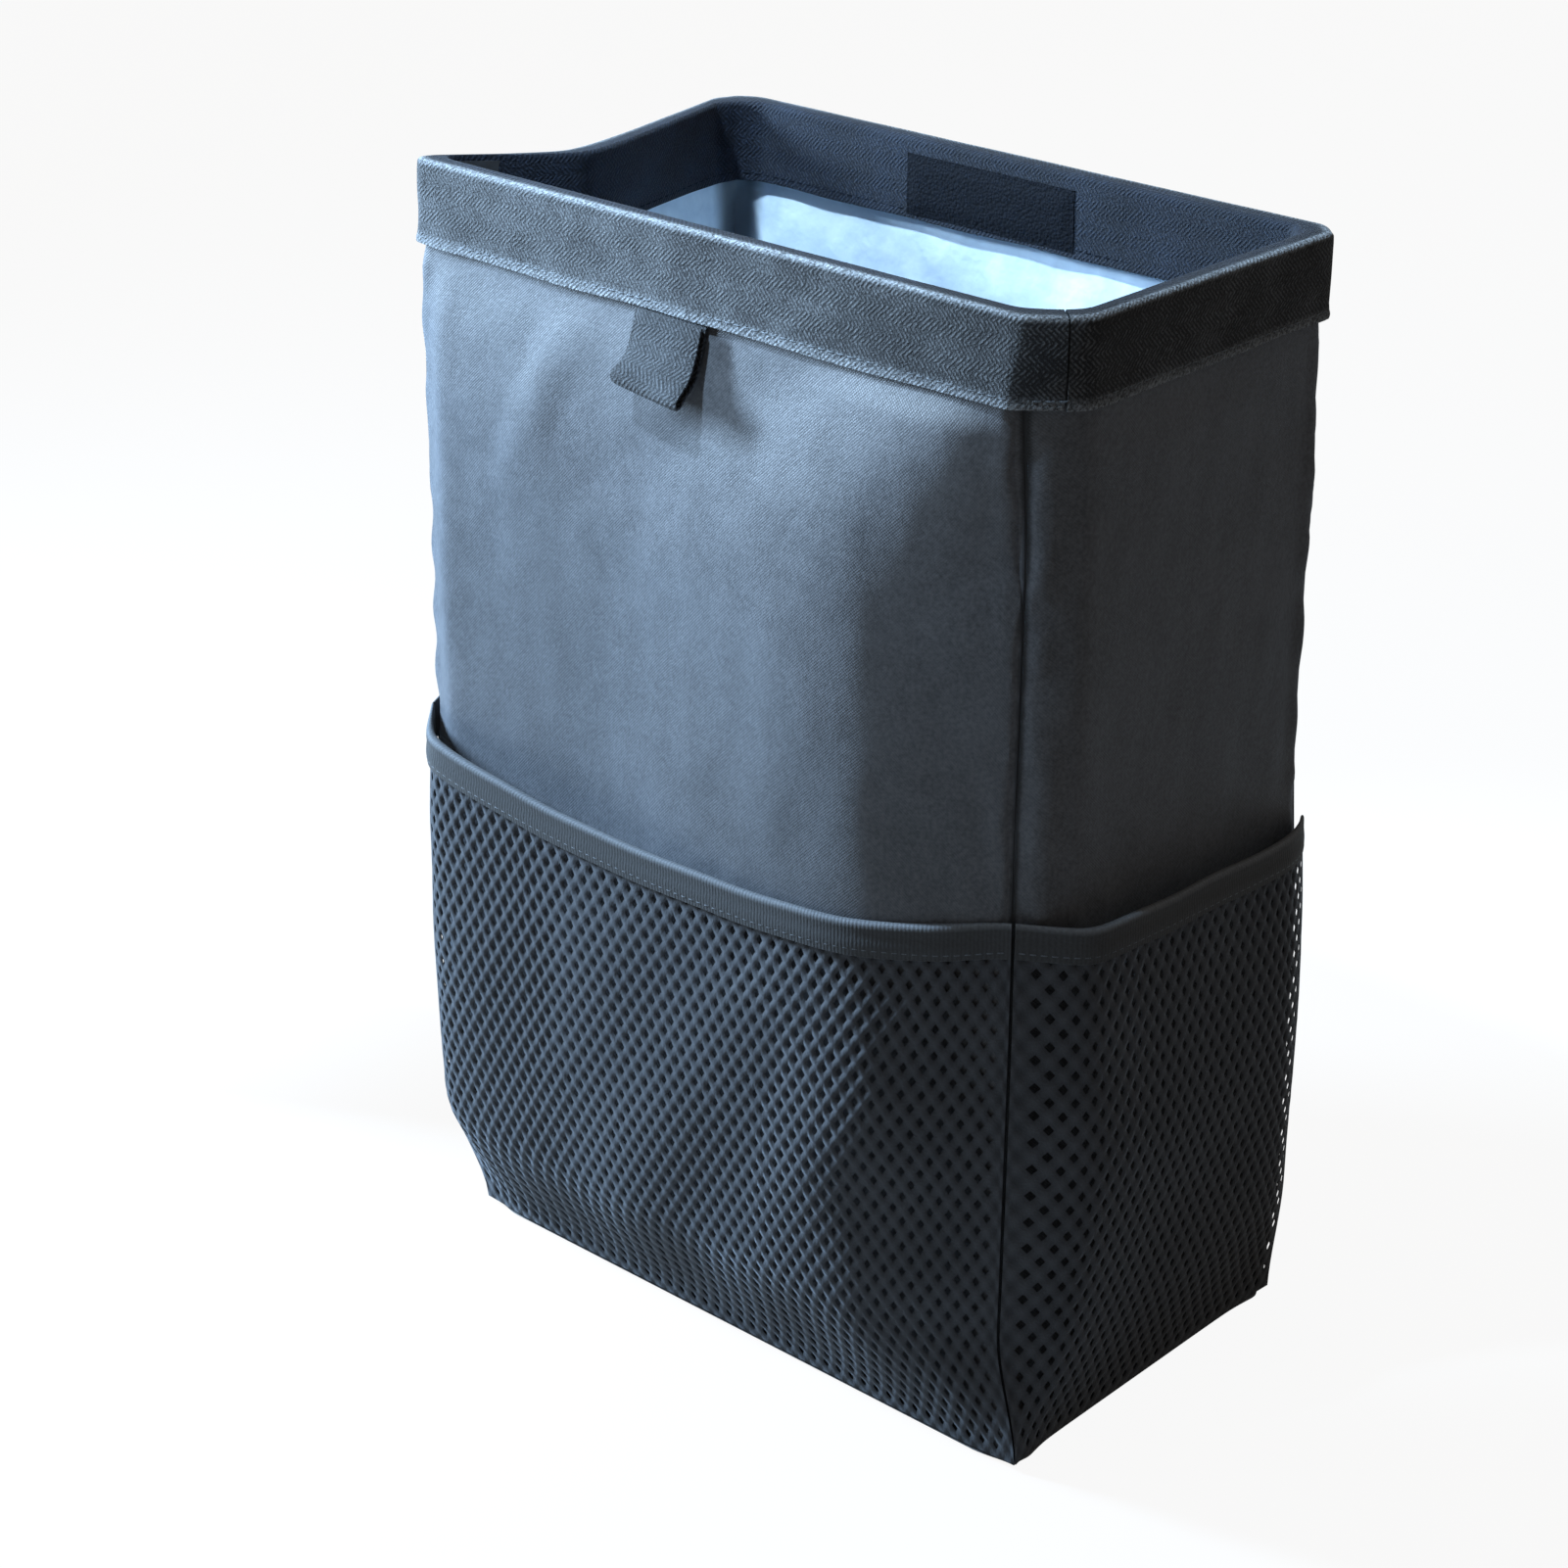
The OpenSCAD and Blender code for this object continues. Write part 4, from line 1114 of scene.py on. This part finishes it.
def mesh_finish():
    f = Finish("knitted_mesh", 0.7, Sheen_Weight=0.22, Sheen_Roughness=0.45,
               Sheen_Tint=(0.75, 0.85, 1.0, 1), Specular_IOR_Level=0.3)
    at = f.place()
    x, y = f.cloth_map()
    yarn = f.noise(at, 0.0008, 2.0, 0.6)
    patch = f.noise(at, 0.02, 2.0)
    # a wave across times a wave up: one at a knot, minus one at the middle of a hole
    half_wide, half_high = hole_wide / 1000, hole_high / 1000
    across_holes = ((x - half_wide) * (math.pi / half_wide)).cosine()
    lattice = across_holes * (y * (math.pi / half_high)).cosine()
    # painted highlight and shade: the yarn is painted palest on the knots and darkest round the holes
    share = yarn * 0.5 + (patch - 0.5) * 0.5 + lattice * 0.35 + 0.25
    colour = f.blend(share.clip(), (0.014, 0.015, 0.019), (0.060, 0.065, 0.077))
    return f.finish_with(colour, 0.6 + yarn * 0.25, yarn * 0.00018 + lattice * 0.0002)


def binding_finish():
    f = Finish("ribbed_binding", 0.7, Sheen_Weight=0.1, Sheen_Roughness=0.5, Specular_IOR_Level=0.3)
    at = f.place()
    along, over = f.cloth_map()
    ribs = (along * (2 * math.pi / 0.0011)).sine() * 0.5 + 0.5
    yarn = f.noise(at, 0.0008, 2.0, 0.6)
    # painted highlight: a paler line along the top of the fold, speckled by the yarn
    rub_and_highlight = (1 - ((over - 0.0102) / 0.0018).size().clip()) * (0.4 + yarn)
    colour = f.blend((ribs * 0.15 + yarn * 0.7).clip(), (0.020, 0.021, 0.023), (0.068, 0.072, 0.080))
    colour = f.blend((rub_and_highlight * 0.7).clip(), colour, (0.20, 0.22, 0.25))
    return f.finish_with(colour, 0.65 + yarn * 0.2, ribs * 0.00005 + yarn * 0.00012)


def nap_finish(name, dark, pale, size):
    f = Finish(name, 0.9, Specular_IOR_Level=0.15)
    at = f.place()
    tuft = f.node("ShaderNodeTexVoronoi", {"feature": "F1"}, Vector=at, Scale=1 / size)
    hair = f.noise(at, size * 0.6, 3.0, 0.7)
    share = ((1 - tuft) * 0.5 + hair * 0.7 - 0.2).clip()
    return f.finish_with(f.blend(share, dark, pale), 0.9 - hair * 0.1, (1 - tuft) * 0.0003 + hair * 0.0002)


def thread_finish():
    f = Finish("sewing_thread", 0.55, Sheen_Weight=0.2)
    at = f.place()
    settings = {"wave_type": "BANDS", "bands_direction": "DIAGONAL"}
    twist = f.node("ShaderNodeTexWave", settings, Vector=at, Scale=900.0, Distortion=1.0)
    lint = f.noise(at, 0.002, 2.0)
    colour = f.blend((twist * 0.5 + lint * 0.5).clip(), (0.035, 0.042, 0.055), (0.14, 0.17, 0.21))
    return f.finish_with(colour, 0.5 + lint * 0.2, twist * 0.00005)


def board_finish(name, dark, pale):
    f = Finish(name, 0.6)
    at = f.place()
    grain = f.noise(at, 0.0015, 3.0, 0.6)
    cloud = f.noise(at, 0.03, 2.0)
    colour = f.blend((grain * 0.6 + cloud * 0.4).clip(), dark, pale)
    return f.finish_with(colour, 0.5 + grain * 0.3, grain * 0.00008)


thread = thread_finish()
loop_pile = nap_finish("loop_pile", (0.001, 0.0015, 0.003), (0.006, 0.008, 0.015), 0.0009)
hook_nap = nap_finish("hook_nap", (0.008, 0.010, 0.015), (0.035, 0.045, 0.065), 0.0007)
dark_thread = nap_finish("dark_thread", (0.002, 0.003, 0.006), (0.014, 0.020, 0.034), 0.0007)
black_board = board_finish("black_board", (0.015, 0.015, 0.017), (0.05, 0.05, 0.055))
finishes = {"outer_cloth": slate, "webbing": band_finish, "liner_film": liner_finish(),
            "mesh": mesh_finish(), "binding": binding_finish(), "closure": loop_pile,
            "board": black_board}
special = {"tab_loop": tab_finish, "hem_stitches": thread, "binding_stitches": thread,
           "inner_hem_stitches": dark_thread, "hook_strip": hook_nap}
print(len(finishes) + len(special), "finishes ready")

# %% [markdown]
# ## Giving out the finishes
#
# New pieces take the finish of their slot. Construction nodes, among them those that stay in view
# or that another view could reach through the mesh, get the board finish if they are the board and
# the finish of the tapes between the layers otherwise; their meshes have no cloth map, so that
# finish only reads Object coordinates.

# %% Assign materials
plain_tape = board_finish("seam_tape_cloth", (0.020, 0.022, 0.027), (0.060, 0.065, 0.075))
slot_of = {s["node"]: s["material_slot"] for s in frame["record"]["subparts"]}
for name, piece in made.items():
    piece.data.materials.clear()
    piece.data.materials.append(special.get(name) or finishes[piece.get("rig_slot", "") or "outer_cloth"])
for name, obj in nodes.items():
    material = finishes["board"] if slot_of.get(name) == "board" else plain_tape
    if not obj.material_slots:
        obj.data.materials.append(material)
    for holder in obj.material_slots:
        holder.material = material
print("finishes on", len(made), "pieces and", len(nodes), "nodes")

# %% [markdown]
# ## Floor and world
#
# The picture has a bare white ground. A pale floor that glows a little, only for the camera, comes
# out white and still keeps the bag's soft shadow. To every other ray it is a warm grey, so that it
# doesn't light the shaded side from below. The world is white to the camera and a low warm glow to
# the bag.

# %% Floor and world
scene = bpy.context.scene


def fresh(tree, *kinds):
    """Empties a node tree and adds a node of each kind. Gives the nodes."""
    tree.nodes.clear()
    return [tree.nodes.new("ShaderNode" + kind) for kind in kinds]


def flat_card(name, corners, material):
    """One flat face for the stage, with its corners in metres."""
    m = bpy.data.meshes.new(name)
    m.from_pydata(corners, [], [(0, 1, 2, 3)])
    m.materials.append(material)
    card = bpy.data.objects.new(name, m)
    scene.collection.objects.link(card)
    return card


def pale_floor(glow_share, bounce):
    material = bpy.data.materials.new("pale_floor")
    material.use_nodes = True
    link = material.node_tree.links.new
    diffuse, glow, mix, path, share, either, tint, out = fresh(
        material.node_tree, "BsdfDiffuse", "Emission", "MixShader", "LightPath", "Math", "Math", "Mix",
        "OutputMaterial")
    glow.inputs["Strength"].default_value = 1.0
    either.operation, share.operation, tint.data_type = "MAXIMUM", "MULTIPLY", "RGBA"
    share.inputs[1].default_value = glow_share
    tint.inputs[6].default_value, tint.inputs[7].default_value = (*bounce, 1), (1, 1, 1, 1)
    link(path.outputs["Is Camera Ray"], either.inputs[0])
    link(path.outputs["Is Transmission Ray"], either.inputs[1])
    link(either.outputs[0], share.inputs[0])
    link(share.outputs[0], mix.inputs[0])
    link(path.outputs["Is Camera Ray"], tint.inputs[0])
    link(tint.outputs[2], diffuse.inputs["Color"])
    link(diffuse.outputs[0], mix.inputs[1])
    link(glow.outputs[0], mix.inputs[2])
    link(mix.outputs[0], out.inputs["Surface"])
    return material


def studio_world(colour, strength):
    world = bpy.data.worlds.new("studio")
    world.use_nodes = True
    scene.world = world
    link = world.node_tree.links.new
    ambient, white, pick, path, out = fresh(
        world.node_tree, "Background", "Background", "MixShader", "LightPath", "OutputWorld")
    ambient.inputs["Color"].default_value = (*colour, 1)
    ambient.inputs["Strength"].default_value = strength
    white.inputs["Strength"].default_value = 1.0
    link(path.outputs["Is Camera Ray"], pick.inputs[0])
    link(ambient.outputs[0], pick.inputs[1])
    link(white.outputs[0], pick.inputs[2])
    link(pick.outputs[0], out.inputs["Surface"])


floor_reach, floor_gap = 6, 0.0004
square = ((-1, -1), (1, -1), (1, 1), (-1, 1))
floor_corners = [(x * floor_reach, y * floor_reach, 0) for x, y in square]
floor = flat_card("floor", floor_corners, pale_floor(0.93, (0.50, 0.46, 0.42)))
floor.location.z = -floor_gap
studio_world((1.0, 0.92, 0.82), 0.19)
print("floor", 2 * floor_reach, "m wide")

# %% [markdown]
# ## Lamps
#
# A narrow key lamp stands far off at the front left, so its light rakes over the front, shows the
# weave and the long ridge, and leaves the right side in shade. Square on the left wall it would be
# too strong, so a small black card, unseen by the camera, stands in its way there, as a
# photographer's flag does. A soft spot from above the front falls through the mouth onto the pale
# liner.

# %% Lamps
def aim_lamp(name, kind, target, towards, far, power, colour):
    """A lamp far metres from the target in the direction towards, which looks back at it. Its energy
    is power times far squared, so that its light on the target doesn't change with far."""
    lamp = bpy.data.objects.new(name, bpy.data.lights.new(name, kind))
    direction = Vector(towards).normalized()
    lamp.location = Vector(target) + direction * far
    lamp.rotation_euler = direction.to_track_quat("Z", "Y").to_euler()
    lamp.data.energy, lamp.data.color = power * far ** 2, colour
    scene.collection.objects.link(lamp)
    return lamp


# a level is how bright a white card that faces the lamp renders: an area lamp's power is that level
# times pi squared, and a spot's is four times as much
area_power, spot_power = math.pi ** 2, 4 * math.pi ** 2

key_far = 0.75
key = aim_lamp("key", "AREA", (0, 0, 0.16), (-0.84, -0.355, 0.42), key_far, 3.3 * area_power,
               (0.54, 0.76, 1.0))
key.data.shape, key.data.size, key.data.size_y = "RECTANGLE", 0.06, 0.28
key.visible_camera = False

flag_corners = [(-0.3, y, z) for y, z in ((-0.121, 0.1), (-0.045, 0.1), (-0.045, 0.375), (-0.121, 0.375))]
card_black = board_finish("card_black", (0.01, 0.01, 0.01), (0.02, 0.02, 0.02))
flag = flat_card("lamp_card", flag_corners, card_black)
flag.visible_camera = False

mouth_far, mouth_wide = 1.2, 0.34
mouth = aim_lamp("mouth_lamp", "SPOT", (0.0, 0.055, 0.275), (-0.14, -0.50, 0.85), mouth_far,
                 2.15 * spot_power, (0.60, 0.81, 1.0))
mouth.data.spot_size = 2 * math.atan(mouth_wide / 2 / mouth_far)
mouth.data.spot_blend, mouth.data.shadow_soft_size = 0.6, 0.04
scene.view_settings.view_transform = "Standard"
for lamp in (key, mouth):
    print(lamp.name, "at", [round(v, 2) for v in lamp.location], "m")
